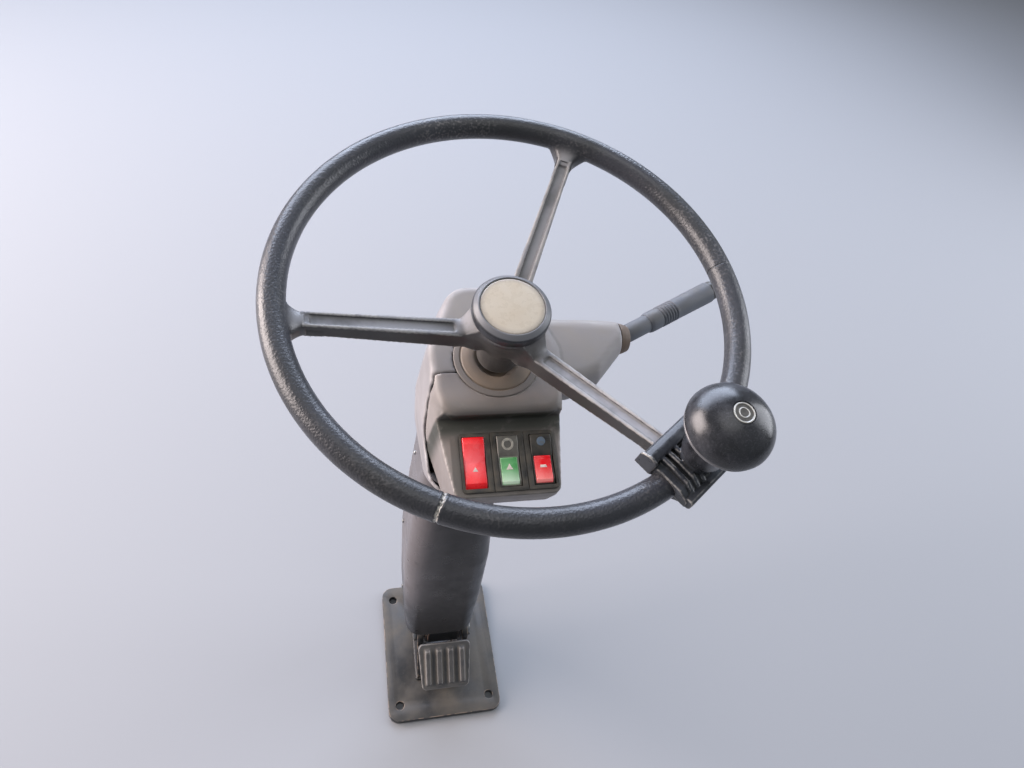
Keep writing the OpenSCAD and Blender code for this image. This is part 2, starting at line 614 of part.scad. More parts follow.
cap_top = hub_top + cap_t;
module hub_cap() color("#1f2022") shaft_frame() rotate_extrude() polygon([
    [0, hub_top + 8], [cap_r - 12, hub_top + 8],
    [cap_r - 12, hub_top + seat_gap], [cap_r - 1, hub_top + seat_gap],
    [cap_r, hub_top + 1.5], [cap_r, cap_top - 3.5], [cap_r - 1.2, cap_top - 1.2], [cap_r - 3.5, cap_top],
    [disc_r, cap_top - 0.6], [disc_r, cap_top - 3], [0, cap_top - 3]]);
module cap_disc() color("#e8e0cf") shaft_frame() rotate_extrude() polygon(concat(
    [[0, cap_top - 3], [disc_r - 0.1, cap_top - 3], [disc_r - 0.1, cap_top - 1]],
    [for (i = [1:5]) let (r = (disc_r - 0.1) * (1 - i / 5))
        [r, cap_top - 1 + 1.2 * (1 - pow(r / disc_r, 2))]]));
module steering_shaft() color("#8d9194") shaft_frame()
    translate([0, 0, collar_foot + 1]) cylinder(h = hub_top - collar_foot - 1, r = shaft_r - 0.02);

// Clamp of the spinner knob, in its own frame: x outward across the rim, y along it, z up
clamp_len = rim_mid * clamp_span * PI / 180;
saddle = rim_r + 3;
bar_w = 11;
bar_top = 16;
rail_w = 6;
rail_top = 10;
module clamp_place() shaft_frame() rotate([0, 0, clamp_turn]) translate([rim_mid, 0, 0]) children();
module along_rim(len) rotate([90, 0, 0]) translate([0, 0, -len / 2]) linear_extrude(len) children();
module rim_hole() shaft_frame() rotate_extrude() translate([rim_mid, 0]) circle(r = rim_r + 0.1);
module knob_place() shaft_frame() rotate([0, 0, knob_turn]) translate([rim_mid, 0, 0]) children();

// Side view of the thick bar towards the hub, grown by g
module bar_form(g) translate([-clamp_in, 0]) polygon(rounded([
    [-g, 0, 0], [bar_w + g, 0, 0], [bar_w + g, bar_top - 1 + g, 2], [bar_w / 2, bar_top + g, 3],
    [-g, bar_top - 3 + g, 4]], 4));

module clamp_upper() color("#242527") difference() {
    union() {
        clamp_place() {
            // a saddle between a thick bar and a thin rail, with ribs across it and a flange at each end
            along_rim(clamp_len - 2) polygon([
                [-clamp_in + 4, 0.5], [clamp_out - 3, 0.5], [clamp_out - 4, 7],
                [8, saddle - 1], [-8, saddle - 1], [-clamp_in + 4, 9]]);
            along_rim(clamp_len - 1) bar_form(0);
            for (s = [-1, 1]) translate([0, s * (clamp_len / 2 - 1), 0]) along_rim(2) bar_form(1.2);
            along_rim(clamp_len - 4) translate([clamp_out, 0]) polygon([
                [-rail_w, 0], [-1, 0], [0, 2], [0, rail_top - 2], [-2, rail_top], [-rail_w, rail_top - 1]]);
            for (s = [-1, 1], k = [0:2]) translate([0, s * (k + 1.1) * rib_pitch, 0]) along_rim(rib_w)
                polygon([[-clamp_in + bar_w - 1, 1], [clamp_out - rail_w + 1, 1],
                         [clamp_out - rail_w + 1, rail_top - 1.5], [7, saddle + 2], [-6, saddle + 2.5],
                         [-clamp_in + bar_w - 1, bar_top - 1.5]]);
        }
        knob_place() cylinder(h = pedestal_top, r = neck_r - 3);
    }
    rim_hole();
    knob_place() cylinder(h = 60, r = post_r);
}
// The lower half is notched where the spoke runs into the rim
module clamp_lower() color("#242527") difference() {
    clamp_place() along_rim(clamp_len - 14) polygon([
        [-clamp_in + 6, -0.5], [clamp_out - 4, -0.5], [clamp_out - 4, -7], [saddle, -10],
        [8, -saddle - 1.5], [-8, -saddle - 1.5], [-saddle, -10], [-clamp_in + 6, -7]]);
    rim_hole();
    shaft_frame() rotate([0, 0, spoke_turn + 240])
        translate([rim_mid - 60, -web_half - 0.5, -rim_r - 3.5]) cube([64, 2 * web_half + 1, rim_r + 5]);
}
module knob_post() color("#8d9194") knob_place()
    translate([0, 0, rim_r + 0.5]) cylinder(h = lip_z + 8 - rim_r, r = post_r - 0.01);

// Knob: a dome over a lip and a neck, turning on the post
knob_foot = pedestal_top + 0.5;
dome_rise = dome_top - lip_z - 3;
module knob_body() color("#222325") knob_place() rotate_extrude() polygon(concat(
    [[post_r + run_gap, knob_foot], [neck_r - 2, knob_foot], [neck_r, knob_foot + 2],
     [neck_r, lip_z - 7], [dome_r - 4, lip_z - 2], [dome_r - 1, lip_z - 1], [dome_r - 1, lip_z + 1],
     [dome_r - 1.8, lip_z + 1.6], [dome_r, lip_z + 3]],
    [for (i = [1:16]) let (t = acos(inlay_r / dome_r) * i / 16)
        [dome_r * cos(t), lip_z + 3 + dome_rise * sin(t)]],
    [[inlay_r, dome_top - 2.5], [0, dome_top - 2.5], [0, lip_z + 9.5], [post_r + run_gap, lip_z + 9.5]]));
module knob_inlay() color("#4b4c4e") knob_place() rotate_extrude() polygon([
    [0, dome_top - 2.5], [inlay_r - 0.1, dome_top - 2.5], [inlay_r - 0.1, dome_top - 1.5],
    [inlay_r - 1, dome_top - 0.9], [inlay_r - 1.8, dome_top - 1.4], [0, dome_top - 1.1]]);

// Gas spring: the barrel on its lower eye, and the rod on its upper eye
module eye(p, bore) translate([0, p[0], p[1]]) rotate([0, 90, 0]) difference() {
    cylinder(h = 2 * eye_half, r = eye_r, center = true);
    cylinder(h = 2 * eye_half + 2, r = bore, center = true);
}
module strut_barrel() color("#141516") {
    eye(strut_foot_pin, strut_pin_r + run_gap);
    translate([0, strut_foot_pin[0], strut_foot_pin[1]]) difference() {
        union() {
            translate([0, 0, eye_r - 1.5]) cylinder(h = 10, r = 5.5);
            translate([0, 0, eye_r + 5]) cylinder(h = barrel_len - eye_r - 5, r = barrel_r);
        }
        translate([0, 0, 38]) cylinder(h = barrel_len, r = rod_r + run_gap);
    }
}
module strut_rod() color("#9a9da0") {
    eye(strut_head_pin, strut_pin_r + eye_play);
    translate([0, strut_foot_pin[0], strut_foot_pin[1] + 58])
        cylinder(h = strut_len - 58 - eye_r + 1, r = rod_r);
}

floor_plate();
pivot_ears();
pivot_pin();
strut_foot();
release_lever();
release_pad();
spine();
head_plate();
steering_unit();
collar();
rear_shell();
front_cover();
lower_cover();
switch_case(-1);  // switch_case_left
switch_case(0);  // switch_case_middle
switch_case(1);  // switch_case_right
color("#d8232a") rocker(-1);  // rocker_left
color("#5a5b59") rocker(0);  // rocker_middle
color("#3a3b3c") rocker(1);  // rocker_right
color("#4f9a57") lens(0);  // lens_middle
color("#d8232a") lens(1);  // lens_right
stalk_socket();
stalk_arm();
stalk_grip();
stalk_tip();
strut_bracket();
rim();
spider();
hub_cap();
cap_disc();
steering_shaft();
clamp_upper();
clamp_lower();
knob_post();
knob_body();
knob_inlay();
strut_barrel();
strut_rod();
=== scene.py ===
"""Looks of a cab's steering column with its steering wheel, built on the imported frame.
Sizes in the tables are millimetres. What follows the steering shaft is given in the shaft frame,
from the wheel's middle: x to the driver's right, y forward in the wheel's plane, z up the shaft."""
import json
import math

import bmesh
import bpy
import numpy as np
from mathutils import Matrix, Vector, noise
from mathutils.bvhtree import BVHTree


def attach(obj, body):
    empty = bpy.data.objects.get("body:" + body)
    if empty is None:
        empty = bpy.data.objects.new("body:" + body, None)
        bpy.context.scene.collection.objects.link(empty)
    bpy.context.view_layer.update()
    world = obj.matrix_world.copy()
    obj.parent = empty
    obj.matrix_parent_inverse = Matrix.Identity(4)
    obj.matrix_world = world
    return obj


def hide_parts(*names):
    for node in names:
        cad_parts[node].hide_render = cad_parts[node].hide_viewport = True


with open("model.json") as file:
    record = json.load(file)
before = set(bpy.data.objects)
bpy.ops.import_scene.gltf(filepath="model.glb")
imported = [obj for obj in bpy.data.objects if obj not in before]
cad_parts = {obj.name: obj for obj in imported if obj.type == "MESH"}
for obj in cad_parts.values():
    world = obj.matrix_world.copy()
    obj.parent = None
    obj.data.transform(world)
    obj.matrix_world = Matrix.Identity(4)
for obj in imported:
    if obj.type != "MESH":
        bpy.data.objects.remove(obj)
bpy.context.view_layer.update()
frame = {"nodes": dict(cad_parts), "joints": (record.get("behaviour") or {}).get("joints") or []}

MM = 0.001
JOINTS = {joint["name"]: joint for joint in frame["joints"]}

# Places of the turning parts, read from the joints
turn = JOINTS["steering_turn"]
RAKE = math.atan2(-turn["axis"][1], turn["axis"][2])
SHAFT = Matrix.Translation(turn["pos_m"]) @ Matrix.Rotation(RAKE, 4, "X")
KNOB = Matrix.Translation(JOINTS["knob_spin"]["pos_m"]) @ Matrix.Rotation(RAKE, 4, "X")

# Switch panel: its middle, its tilt from the deck in degrees, half its width, and the pitch
PANEL_SPOT, PANEL_LEAN, PANEL_HALF, SWITCH_PITCH = (2.5, -85.86, -110.22), 5.0, 44.0, 28.0
PANEL = (SHAFT @ Matrix.Translation(Vector(PANEL_SPOT) * MM)
         @ Matrix.Rotation(math.radians(PANEL_LEAN), 4, "X"))

# Wheel: the rim's middle circle and section, its three spokes, and what sits on the hub
RIM_MID, RIM_R = 170.25, 9.75
SPOKES = (66.0, 186.0, 306.0)
HUB_TOP, CAP_TOP, CAP_R, DISC_R = -25.0, -13.0, 30.5, 25.5

# Spinner knob: foot, lip and top of its dome, its radii, and its clamp's place round the rim
KNOB_FOOT, LIP, DOME_TOP, KNOB_RISE = 21.25, 57.0, 81.0, 60.0
DOME_R, NECK_R, POST_R, INLAY_R, BORE_DEPTH = 28.0, 15.0, 5.0, 7.4, 9.5
CLAMP_TURN = -54.0

# Head: its deck, the collar and the shaft in it
DECK, COLLAR_R, SHAFT_R, RUN_GAP = -92.0, 35.5, 9.0, 0.06

# Stalk: where it leaves its lobe, how far it turns forward, then arm and grip
STALK_SEAT, STALK_TURN = (119, 27, -110), 26.0
ARM_R, ARM_LEN, GRIP_R, GRIP_LEN = 8.5, 36.0, 10.0, 80.0


# Shapes

def add_piece(name, mesh):
    """A new object for a mesh whose points are already in place."""
    piece = bpy.data.objects.new(name, mesh)
    bpy.context.scene.collection.objects.link(piece)
    return piece


def to_mesh(name, points, faces, place=None):
    """A mesh from points in millimetres, faced outward and put in its place in metres."""
    mesh = bpy.data.meshes.new(name)
    mesh.from_pydata([[c * MM for c in p] for p in points], [], faces)
    work = bmesh.new()
    work.from_mesh(mesh)
    bmesh.ops.remove_doubles(work, verts=work.verts, dist=1e-7)
    bmesh.ops.recalc_face_normals(work, faces=work.faces)
    work.to_mesh(mesh)
    work.free()
    if place is not None:
        mesh.transform(place)
    mesh.shade_smooth()
    return mesh


def band(rows, around, first=0, closed=False):
    """Faces between rows of points, each row a ring of so many; closed joins last to first."""
    faces = []
    for i in range(rows if closed else rows - 1):
        low, high = first + i * around, first + (i + 1) % rows * around
        faces += [(low + k, low + (k + 1) % around, high + (k + 1) % around, high + k)
                  for k in range(around)]
    return faces


def lids(rows, around, first=0):
    """Faces that close the first and the last of such rows."""
    last = first + (rows - 1) * around
    return [tuple(range(first, first + around)), tuple(range(last, last + around))]


def ring(radius, height, steps):
    """Points of a circle round z."""
    turns = [2 * math.pi * k / steps for k in range(steps)]
    return [(radius * math.cos(t), radius * math.sin(t), height) for t in turns]


def eased(outline, reach, steps=3, closed=False):
    """An outline with its corners rounded over reach; a third value sets a corner's own."""
    made, last = [], len(outline)
    for i, point in enumerate(outline):
        here = np.array(point[:2], float)
        own = point[2] if len(point) > 2 else reach
        if not closed and i in (0, last - 1) or own == 0:
            made.append(tuple(here))
            continue
        before = np.array(outline[i - 1][:2], float) - here
        after = np.array(outline[(i + 1) % last][:2], float) - here
        a, b = np.linalg.norm(before), np.linalg.norm(after)
        start = here + before / a * min(own, 0.45 * a)
        end = here + after / b * min(own, 0.45 * b)
        for k in range(steps + 1):
            t = k / steps
            made.append(tuple((1 - t) ** 2 * start + 2 * t * (1 - t) * here + t * t * end))
    return made


def turned(name, outline, place, steps, closed=False):
    """A body turned round z from an outline of (radius, height); a point on the axis closes it."""
    points, faces, rings = [], [], []
    for radius, height in outline:
        made = [(0, 0, height)] if radius < 1e-6 else ring(radius, height, steps)
        rings.append(range(len(points), len(points) + len(made)))
        points += made
    for low, high in zip(rings, rings[1:] + rings[:1] if closed else rings[1:]):
        for k in range(steps):
            j = (k + 1) % steps
            if len(low) == 1:
                faces.append((low[0], high[j], high[k]))
            elif len(high) == 1:
                faces.append((low[k], low[j], high[0]))
            else:
                faces.append((low[k], low[j], high[j], high[k]))
    mesh = to_mesh(name, points, faces, place)
    mesh.set_sharp_from_angle(angle=math.radians(50))
    return mesh


def baked(piece):
    """Works a piece's modifiers into a plain mesh and takes them off."""
    graph = bpy.context.evaluated_depsgraph_get()
    mesh = bpy.data.meshes.new_from_object(piece.evaluated_get(graph))
    piece.modifiers.clear()
    old, piece.data = piece.data, mesh
    bpy.data.meshes.remove(old)
    mesh.name = piece.name


def applied(piece, **steps):
    """Applies modifiers in order; each step is NAME=(kind, settings)."""
    for label, (kind, settings) in steps.items():
        modifier = piece.modifiers.new(label, kind)
        for key, value in settings.items():
            setattr(modifier, key, value)
    baked(piece)


def cad_copy(solid):
    """A merged copy of a CAD node's mesh, as a new piece."""
    mesh = frame["nodes"][solid].data.copy()
    mesh.materials.clear()
    work = bmesh.new()
    work.from_mesh(mesh)
    bmesh.ops.remove_doubles(work, verts=work.verts, dist=2e-6)
    bmesh.ops.dissolve_limit(work, angle_limit=math.radians(0.6), verts=work.verts,
                             edges=work.edges)
    work.to_mesh(mesh)
    work.free()
    spent = ("UVMap", "custom_normal", "sharp_edge")
    for name in [a.name for a in mesh.attributes if a.name in spent]:
        mesh.attributes.remove(mesh.attributes[name])
    return add_piece(solid + ".dressed", mesh)


def edged(solid, width, segments):
    """A CAD node with its edges broken by a small bevel, whose faces carry the edge attribute."""
    piece = cad_copy(solid)
    blank = [bpy.data.materials.new(f"blank{k}") for k in range(2)]
    for material in blank:
        piece.data.materials.append(material)
    applied(piece, edge=("BEVEL", dict(width=width * MM, segments=segments, limit_method="ANGLE",
                                       angle_limit=math.radians(28), material=1,
                                       use_clamp_overlap=True, harden_normals=False)))
    mesh = piece.data
    on_edge = np.empty(len(mesh.polygons), "i")
    mesh.polygons.foreach_get("material_index", on_edge)
    mesh.polygons.foreach_set("material_index", np.zeros_like(on_edge))
    mesh.materials.clear()
    for material in blank:
        bpy.data.materials.remove(material)
    mesh.attributes.new("edge", "FLOAT", "FACE").data.foreach_set("value", on_edge.astype("f"))
    mesh.shade_smooth()
    mesh.set_sharp_from_angle(angle=math.radians(32))
    return piece


def recast(piece, grid, rounds):
    """Recasts a piece on a fine grid, in millimetres, and eases it by rounds of smoothing."""
    applied(piece, recast=("REMESH", dict(mode="VOXEL", voxel_size=grid * MM, adaptivity=0.0,
                                          use_smooth_shade=True)),
            ease=("SMOOTH", dict(factor=0.5, iterations=rounds)))


def moulded(solid, grid, rounds, prepare=None):
    """A CAD node recast on a fine grid, so that its edges and inner corners run into each other as
    on a casting or moulding. Its points carry how sharply the surface stands out."""
    piece = cad_copy(solid)
    if prepare:
        prepare(piece.data)
    recast(piece, grid, rounds)
    measure_edges(piece.data, grid)
    return piece


def points_of(mesh, what="co"):
    """A mesh's points, or with "normal" the way that the surface faces at each of them."""
    flat = np.empty(len(mesh.vertices) * 3, "f")
    mesh.vertices.foreach_get(what, flat)
    return flat.reshape(-1, 3)


def set_points(mesh, points):
    """Moves a mesh's points."""
    mesh.vertices.foreach_set("co", np.ascontiguousarray(points, "f").ravel())
    mesh.update()


def store(mesh, name, values):
    """Gives a mesh's points an attribute that its material reads."""
    layer = mesh.attributes.get(name) or mesh.attributes.new(name, "FLOAT", "POINT")
    layer.data.foreach_set("value", np.ascontiguousarray(values, "f"))


def joined_points(mesh):
    """Each edge of a mesh read from both its ends, as two lists of point numbers."""
    ends = np.empty(len(mesh.edges) * 2, "i")
    mesh.edges.foreach_get("vertices", ends)
    a, b = ends.reshape(-1, 2).T
    return np.concatenate([a, b]), np.concatenate([b, a])


def neighbour_mean(mesh, values):
    """The mean of a value over each point's neighbours."""
    into, source = joined_points(mesh)
    count = np.maximum(np.bincount(into, minlength=len(values)), 1)
    columns = values.reshape(len(values), -1).T
    total = [np.bincount(into, column[source], len(values)) / count for column in columns]
    return np.array(total, "f").T.reshape(values.shape)


def measure_edges(mesh, grid):
    """Stores edge, 1 at an outer corner of the surface, and cranny, 1 at an inner one."""
    full_bend = 0.10
    points, out = points_of(mesh), points_of(mesh, "normal")
    bend = ((points - neighbour_mean(mesh, points)) * out).sum(1) / (grid * MM)
    for _ in range(3):
        bend = 0.5 * bend + 0.5 * neighbour_mean(mesh, bend)
    store(mesh, "edge", np.clip(bend / full_bend, 0, 1))
    store(mesh, "cranny", np.clip(-bend / full_bend, 0, 1))


def filleted(mesh, rounds, where):
    """Fills inner corners as a casting's fillets do; points move outward only, by where's share."""
    into, source = joined_points(mesh)
    live = where[into] > 0
    into, source, size = into[live], source[live], len(where)
    count = np.maximum(np.bincount(into, minlength=size), 1)
    points, out = points_of(mesh), points_of(mesh, "normal")
    for step in range(rounds):
        mean = np.array([np.bincount(into, points[source, k], size) / count for k in range(3)]).T
        rise = np.maximum(((mean - points) * out).sum(1), 0) * where
        points = (points + rise[:, None] * out).astype("f")
        if step % 10 == 9:
            set_points(mesh, points)
            out = points_of(mesh, "normal")
    set_points(mesh, points)


def in_shaft(mesh):
    """A mesh's points in the shaft frame, in millimetres."""
    turn_back = np.array(SHAFT.to_3x3())
    return (points_of(mesh) - np.array(SHAFT.translation)) @ turn_back / MM


def from_shaft(mesh):
    """How far each point lies from the steering shaft's axis, in millimetres."""
    return np.hypot(*in_shaft(mesh)[:, :2].T)


def surface_spot(piece, start, aim):
    """Where a line meets a piece first, and the way the surface faces there."""
    tree = BVHTree.FromObject(piece, bpy.context.evaluated_depsgraph_get())
    return tree.ray_cast(Vector(start), Vector(aim).normalized())[:2]


def smooth_step(low, high, value):
    """0 below low, 1 above high, and a soft rise between them."""
    t = np.clip((value - low) / (high - low), 0, 1)
    return t * t * (3 - 2 * t)


def dress(piece, material, body, *nodes, slot):
    """Gives a finished piece its material, stores how far its points face up, and hands it over."""
    mesh = piece.data
    if len(mesh.materials) == 0:
        mesh.materials.append(material)
    store(mesh, "up", points_of(mesh, "normal")[:, 2])
    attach(piece, body)
    if nodes:
        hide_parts(*nodes)


def dress_edged(solid, width, material, body, slot, segments=2):
    """A CAD node whose shape is right, with its edges broken."""
    dress(edged(solid, width, segments), material, body, solid, slot=slot)


def dress_moulded(solid, grid, rounds, material, body, slot, prepare=None):
    """A CAD node whose shape is right, softened as a casting or moulding."""
    dress(moulded(solid, grid, rounds, prepare), material, body, solid, slot=slot)


# Finishes

def colour(code):
    """An sRGB hex value as linear red, green, blue and alpha."""
    parts = [int(code[i:i + 2], 16) / 255 for i in (1, 3, 5)]
    return [p / 12.92 if p <= 0.04045 else ((p + 0.055) / 1.055) ** 2.4 for p in parts] + [1.0]


def node(tree, kind, sockets=None, **settings):
    """Adds a shader or geometry node, sets it up, and sets or links its sockets."""
    made = tree.nodes.new(kind)
    for key, value in settings.items():
        setattr(made, key, value)
    for key, value in (sockets or {}).items():
        if isinstance(value, bpy.types.NodeSocket):
            tree.links.new(value, made.inputs[key])
        else:
            made.inputs[key].default_value = value
    return made


def finish(name, roughness, metallic=0.0, **sockets):
    """A material with its shader set, and the object's own coordinates."""
    material = bpy.data.materials.new(name)
    material.use_nodes = True
    tree = material.node_tree
    shader = tree.nodes["Principled BSDF"]
    shader.inputs["Roughness"].default_value = roughness
    shader.inputs["Metallic"].default_value = metallic
    for key, value in sockets.items():
        shader.inputs[key.replace("_", " ")].default_value = value
    return material, tree, shader, node(tree, "ShaderNodeTexCoord").outputs["Object"]


def blotches(tree, where, size, low, high, detail=4.0, rough=0.55):
    """Cloudy pattern of the given size in millimetres, stretched between two levels."""
    cloud = node(tree, "ShaderNodeTexNoise", {"Vector": where, "Scale": 1000 / size,
                                              "Detail": detail, "Roughness": rough})
    return stretched(tree, cloud.outputs["Fac"], low, high)


def painted(tree, shader, layers):
    """The shader's base colour: a colour, then each next one laid over it as (mask, colour)."""
    result = colour(layers[0])
    for mask, code in layers[1:]:
        over = node(tree, "ShaderNodeMix", {0: mask, 6: result, 7: colour(code)}, data_type="RGBA")
        result = over.outputs[2]
    tree.links.new(result, shader.inputs["Base Color"])
    return result


def product(tree, *values):
    """Patterns multiplied together."""
    result = values[0]
    for value in values[1:]:
        times = node(tree, "ShaderNodeMath", {0: result, 1: value}, operation="MULTIPLY")
        result = times.outputs[0]
    return result


def stretched(tree, value, low, high):
    """A value with the span between two levels stretched to 0 and 1."""
    return node(tree, "ShaderNodeMapRange", {"Value": value, "From Min": low, "From Max": high},
                clamp=True).outputs["Result"]


def mark(tree, name, low, high):
    """One of the piece's own attributes, stretched between two levels."""
    value = node(tree, "ShaderNodeAttribute", attribute_name=name).outputs["Fac"]
    return stretched(tree, value, low, high)


def relief(tree, shader, *heights):
    """Bumps laid over each other; each is (height pattern, depth in millimetres, strength)."""
    normal = None
    for pattern, depth, strength in heights:
        bump = node(tree, "ShaderNodeBump", {"Height": pattern, "Distance": depth * MM,
                                             "Strength": strength})
        if normal is not None:
            tree.links.new(normal, bump.inputs["Normal"])
        normal = bump.outputs["Normal"]
    tree.links.new(normal, shader.inputs["Normal"])


def grain(tree, where, size):
    """Rounded cells of a moulded leather grain, of the given size in millimetres."""
    cells = node(tree, "ShaderNodeTexVoronoi", {"Vector": where, "Scale": 1000 / size},
                 feature="SMOOTH_F1")
    return cells.outputs["Distance"]


def levels(tree, shader, socket, pattern, low, high):
    """Drives a shader's socket by a pattern between two levels."""
    span = node(tree, "ShaderNodeMapRange", {"Value": pattern, "To Min": low, "To Max": high})
    tree.links.new(span.outputs["Result"], shader.inputs[socket])


def rim_skin():
    """Integral-skin polyurethane foam, moulded in a grained tool: black, with a strong soft sheen
    where hands have polished the grain, paler where its grain cells meet as dust and as a painted
    glint, and a dry, whitened split. Where it thins out over a spoke (the bare attribute) it is
    smooth and as grey as the casting, and what faces up there is painted paler as a painted sky
    reflection."""
    material, tree, shader, where = finish("polyurethane_foam_skin", 0.4, IOR=1.5, Coat_Weight=0.3,
                                           Coat_Roughness=0.34)
    cells = grain(tree, where, 1.5)      # drawn coarser than the real 0.8 mm, so that it shows
    worn = blotches(tree, where, 70, 0.40, 0.62)
    # Paler where the grain's cells meet: dust there, and a painted glint on the raised grain
    dust = product(tree, stretched(tree, cells, 0.45, 0.7), blotches(tree, where, 60, 0.42, 0.75))
    split = mark(tree, "split", 0.25, 0.75)
    chalk = blotches(tree, where, 3.5, 0.42, 0.52)
    bare = mark(tree, "bare", 0.0, 1.0)
    # What faces up on the bare skin is painted paler: a painted sky reflection
    painted_top_light = product(tree, bare, mark(tree, "up", 0.45, 0.9))
    painted(tree, shader, ["#2a2b2e", (worn, "#3a3b41"), (dust, "#6c6a6a"), (bare, "#464547"),
                           (painted_top_light, "#8f8e91"), (mark(tree, "joint", 0.2, 0.8), "#161514"),
                           (split, "#2b2825"), (product(tree, split, chalk), "#cfc9c0")])
    levels(tree, shader, "Roughness", worn, 0.44, 0.31)
    depth = node(tree, "ShaderNodeMapRange", {"Value": bare, "To Min": 0.9, "To Max": 0.04})
    relief(tree, shader, (cells, 0.33, depth.outputs["Result"]),
           (blotches(tree, where, 6, 0.3, 0.7), 0.2, 0.25))
    return material


def coated_casting():
    """Die-cast aluminium under a dark grey powder coat: matt and a little lumpy, greyed on top by
    dust and by a painted sky reflection, painted paler in its inner corners as painted light,
    rubbed to bare metal on its ridges and stained brown round the hub."""
    material, tree, shader, where = finish("powder_coated_aluminium", 0.4)
    ridge = product(tree, mark(tree, "edge", 0.2, 0.75), blotches(tree, where, 13, 0.30, 0.56))
    stain = product(tree, mark(tree, "near_hub", 0.0, 1.0), blotches(tree, where, 22, 0.32, 0.62))
    # Dust on what faces up, and a painted sky reflection there
    film = product(tree, mark(tree, "up", 0.2, 0.85), blotches(tree, where, 42, 0.18, 0.5))
    # The inner corners are painted paler: painted light that lifts the shade in the channels
    painted(tree, shader, ["#3d3c3c", (film, "#98979b"), (stain, "#5b5855"),
                           (mark(tree, "cranny", 0.2, 0.9), "#72706e"), (ridge, "#a9a5a2")])
    levels(tree, shader, "Roughness", blotches(tree, where, 18, 0.3, 0.7), 0.33, 0.48)
    relief(tree, shader, (blotches(tree, where, 1.4, 0.2, 0.8), 0.04, 0.4),
           (blotches(tree, where, 8, 0.2, 0.8), 0.25, 0.25))
    return material


def cover_plastic(name, body_colour, dust_and_top_light_colour, edge_colour, pale, size=1.1, rough=0.46,
                  painted_shading_colour="#3d3d36"):
    """Injection-moulded polypropylene with a fine spark-eroded grain: flat grey that has chalked in
    the sun, paler on what faces up from brown dust and a painted top light, painted darker in its
    inner corners as painted shade, with edges rubbed smooth, and a painted shading colour laid
    where the grime attribute is set."""
    material, tree, shader, where = finish(name, 0.58, IOR=1.49)
    chalked = blotches(tree, where, 70, 0.36, 0.66, detail=5)
    # Dust on what faces up, and a painted top light there
    dust = product(tree, mark(tree, "up", 0.35, 1.0), blotches(tree, where, 26, 0.30, 0.66))
    # Inner corners painted darker: painted shade
    corner_shade = mark(tree, "cranny", 0.15, 0.9)
    rub = product(tree, mark(tree, "edge", 0.2, 0.9), blotches(tree, where, 14, 0.34, 0.6))
    # Painted shading where the grime attribute is set: shade in a dark colour, light in a pale one
    painted_shading = product(tree, mark(tree, "grime", 0.0, 1.0), blotches(tree, where, 16, 0.14, 0.42))
    painted(tree, shader, [body_colour, (chalked, pale), (dust, dust_and_top_light_colour), (corner_shade, "#39332f"),
                           (rub, edge_colour), (painted_shading, painted_shading_colour)])
    levels(tree, shader, "Roughness", blotches(tree, where, 18, 0.3, 0.7), rough, rough + 0.2)
    # The real grain is about 0.3 mm and wouldn't show, so it is drawn about 1 mm wide
    relief(tree, shader, (blotches(tree, where, size, 0.25, 0.75, detail=2), 0.05, 0.5),
           (blotches(tree, where, 45, 0.2, 0.8), 0.5, 0.2))
    return material


def black_switch_plastic():
    """Glass-filled nylon, moulded: satin black under an olive film of dust."""
    material, tree, shader, where = finish("glass_filled_nylon_black", 0.42, IOR=1.53)
    film = product(tree, mark(tree, "up", 0.2, 0.9), blotches(tree, where, 9, 0.30, 0.62))
    painted(tree, shader, ["#232220", (film, "#4f493f"), (mark(tree, "edge", 0.4, 1.0), "#3f3d37")])
    levels(tree, shader, "Roughness", film, 0.34, 0.62)
    relief(tree, shader, (blotches(tree, where, 0.8, 0.2, 0.8), 0.03, 0.5))
    return material


def lamp_plastic(name, deep, bright, foot):
    """Translucent polycarbonate, moulded over a lamp: clear saturated colour with a glossy skin
    that glows faintly in its own colour, a painted glow for the daylight that seeps through, with
    painted highlights across its middle and on its edges, and paler towards its foot as a painted
    highlight on the lip there."""
    material, tree, shader, where = finish(name, 0.24, IOR=1.585, Subsurface_Weight=0.12,
                                           Subsurface_Scale=0.003, Coat_Weight=0.1,
                                           Emission_Strength=0.16)
    shader.inputs["Subsurface Radius"].default_value = (1.0, 0.4, 0.3)
    haze = blotches(tree, where, 11, 0.38, 0.68)
    # Painted highlights: a band across the middle, the foot, and the edges
    mid_highlight = product(tree, mark(tree, "along", 0.0, 1.0), blotches(tree, where, 9, 0.22, 0.5))
    base = painted(tree, shader, [deep, (mid_highlight, bright), (mark(tree, "foot", 0.2, 0.8), foot),
                                  (product(tree, mark(tree, "edge", 0.5, 1.0), haze), bright)])
    # The colour also glows faintly: a painted glow
    tree.links.new(base, shader.inputs["Emission Color"])
    levels(tree, shader, "Roughness", haze, 0.18, 0.42)
    relief(tree, shader, (blotches(tree, where, 2.4, 0.2, 0.8), 0.05, 0.35))
    return material


def grey_rocker_plastic():
    """ABS, moulded: warm mid grey, hand-greased to a satin and dirty at its edges."""
    material, tree, shader, where = finish("moulded_abs_grey", 0.4, IOR=1.54)
    grime = blotches(tree, where, 7, 0.38, 0.62)
    painted(tree, shader, ["#6b6860", (grime, "#55524c"),
                           (mark(tree, "edge", 0.4, 1.0), "#8b877f")])
    relief(tree, shader, (blotches(tree, where, 1.1, 0.2, 0.8), 0.04, 0.5))
    return material


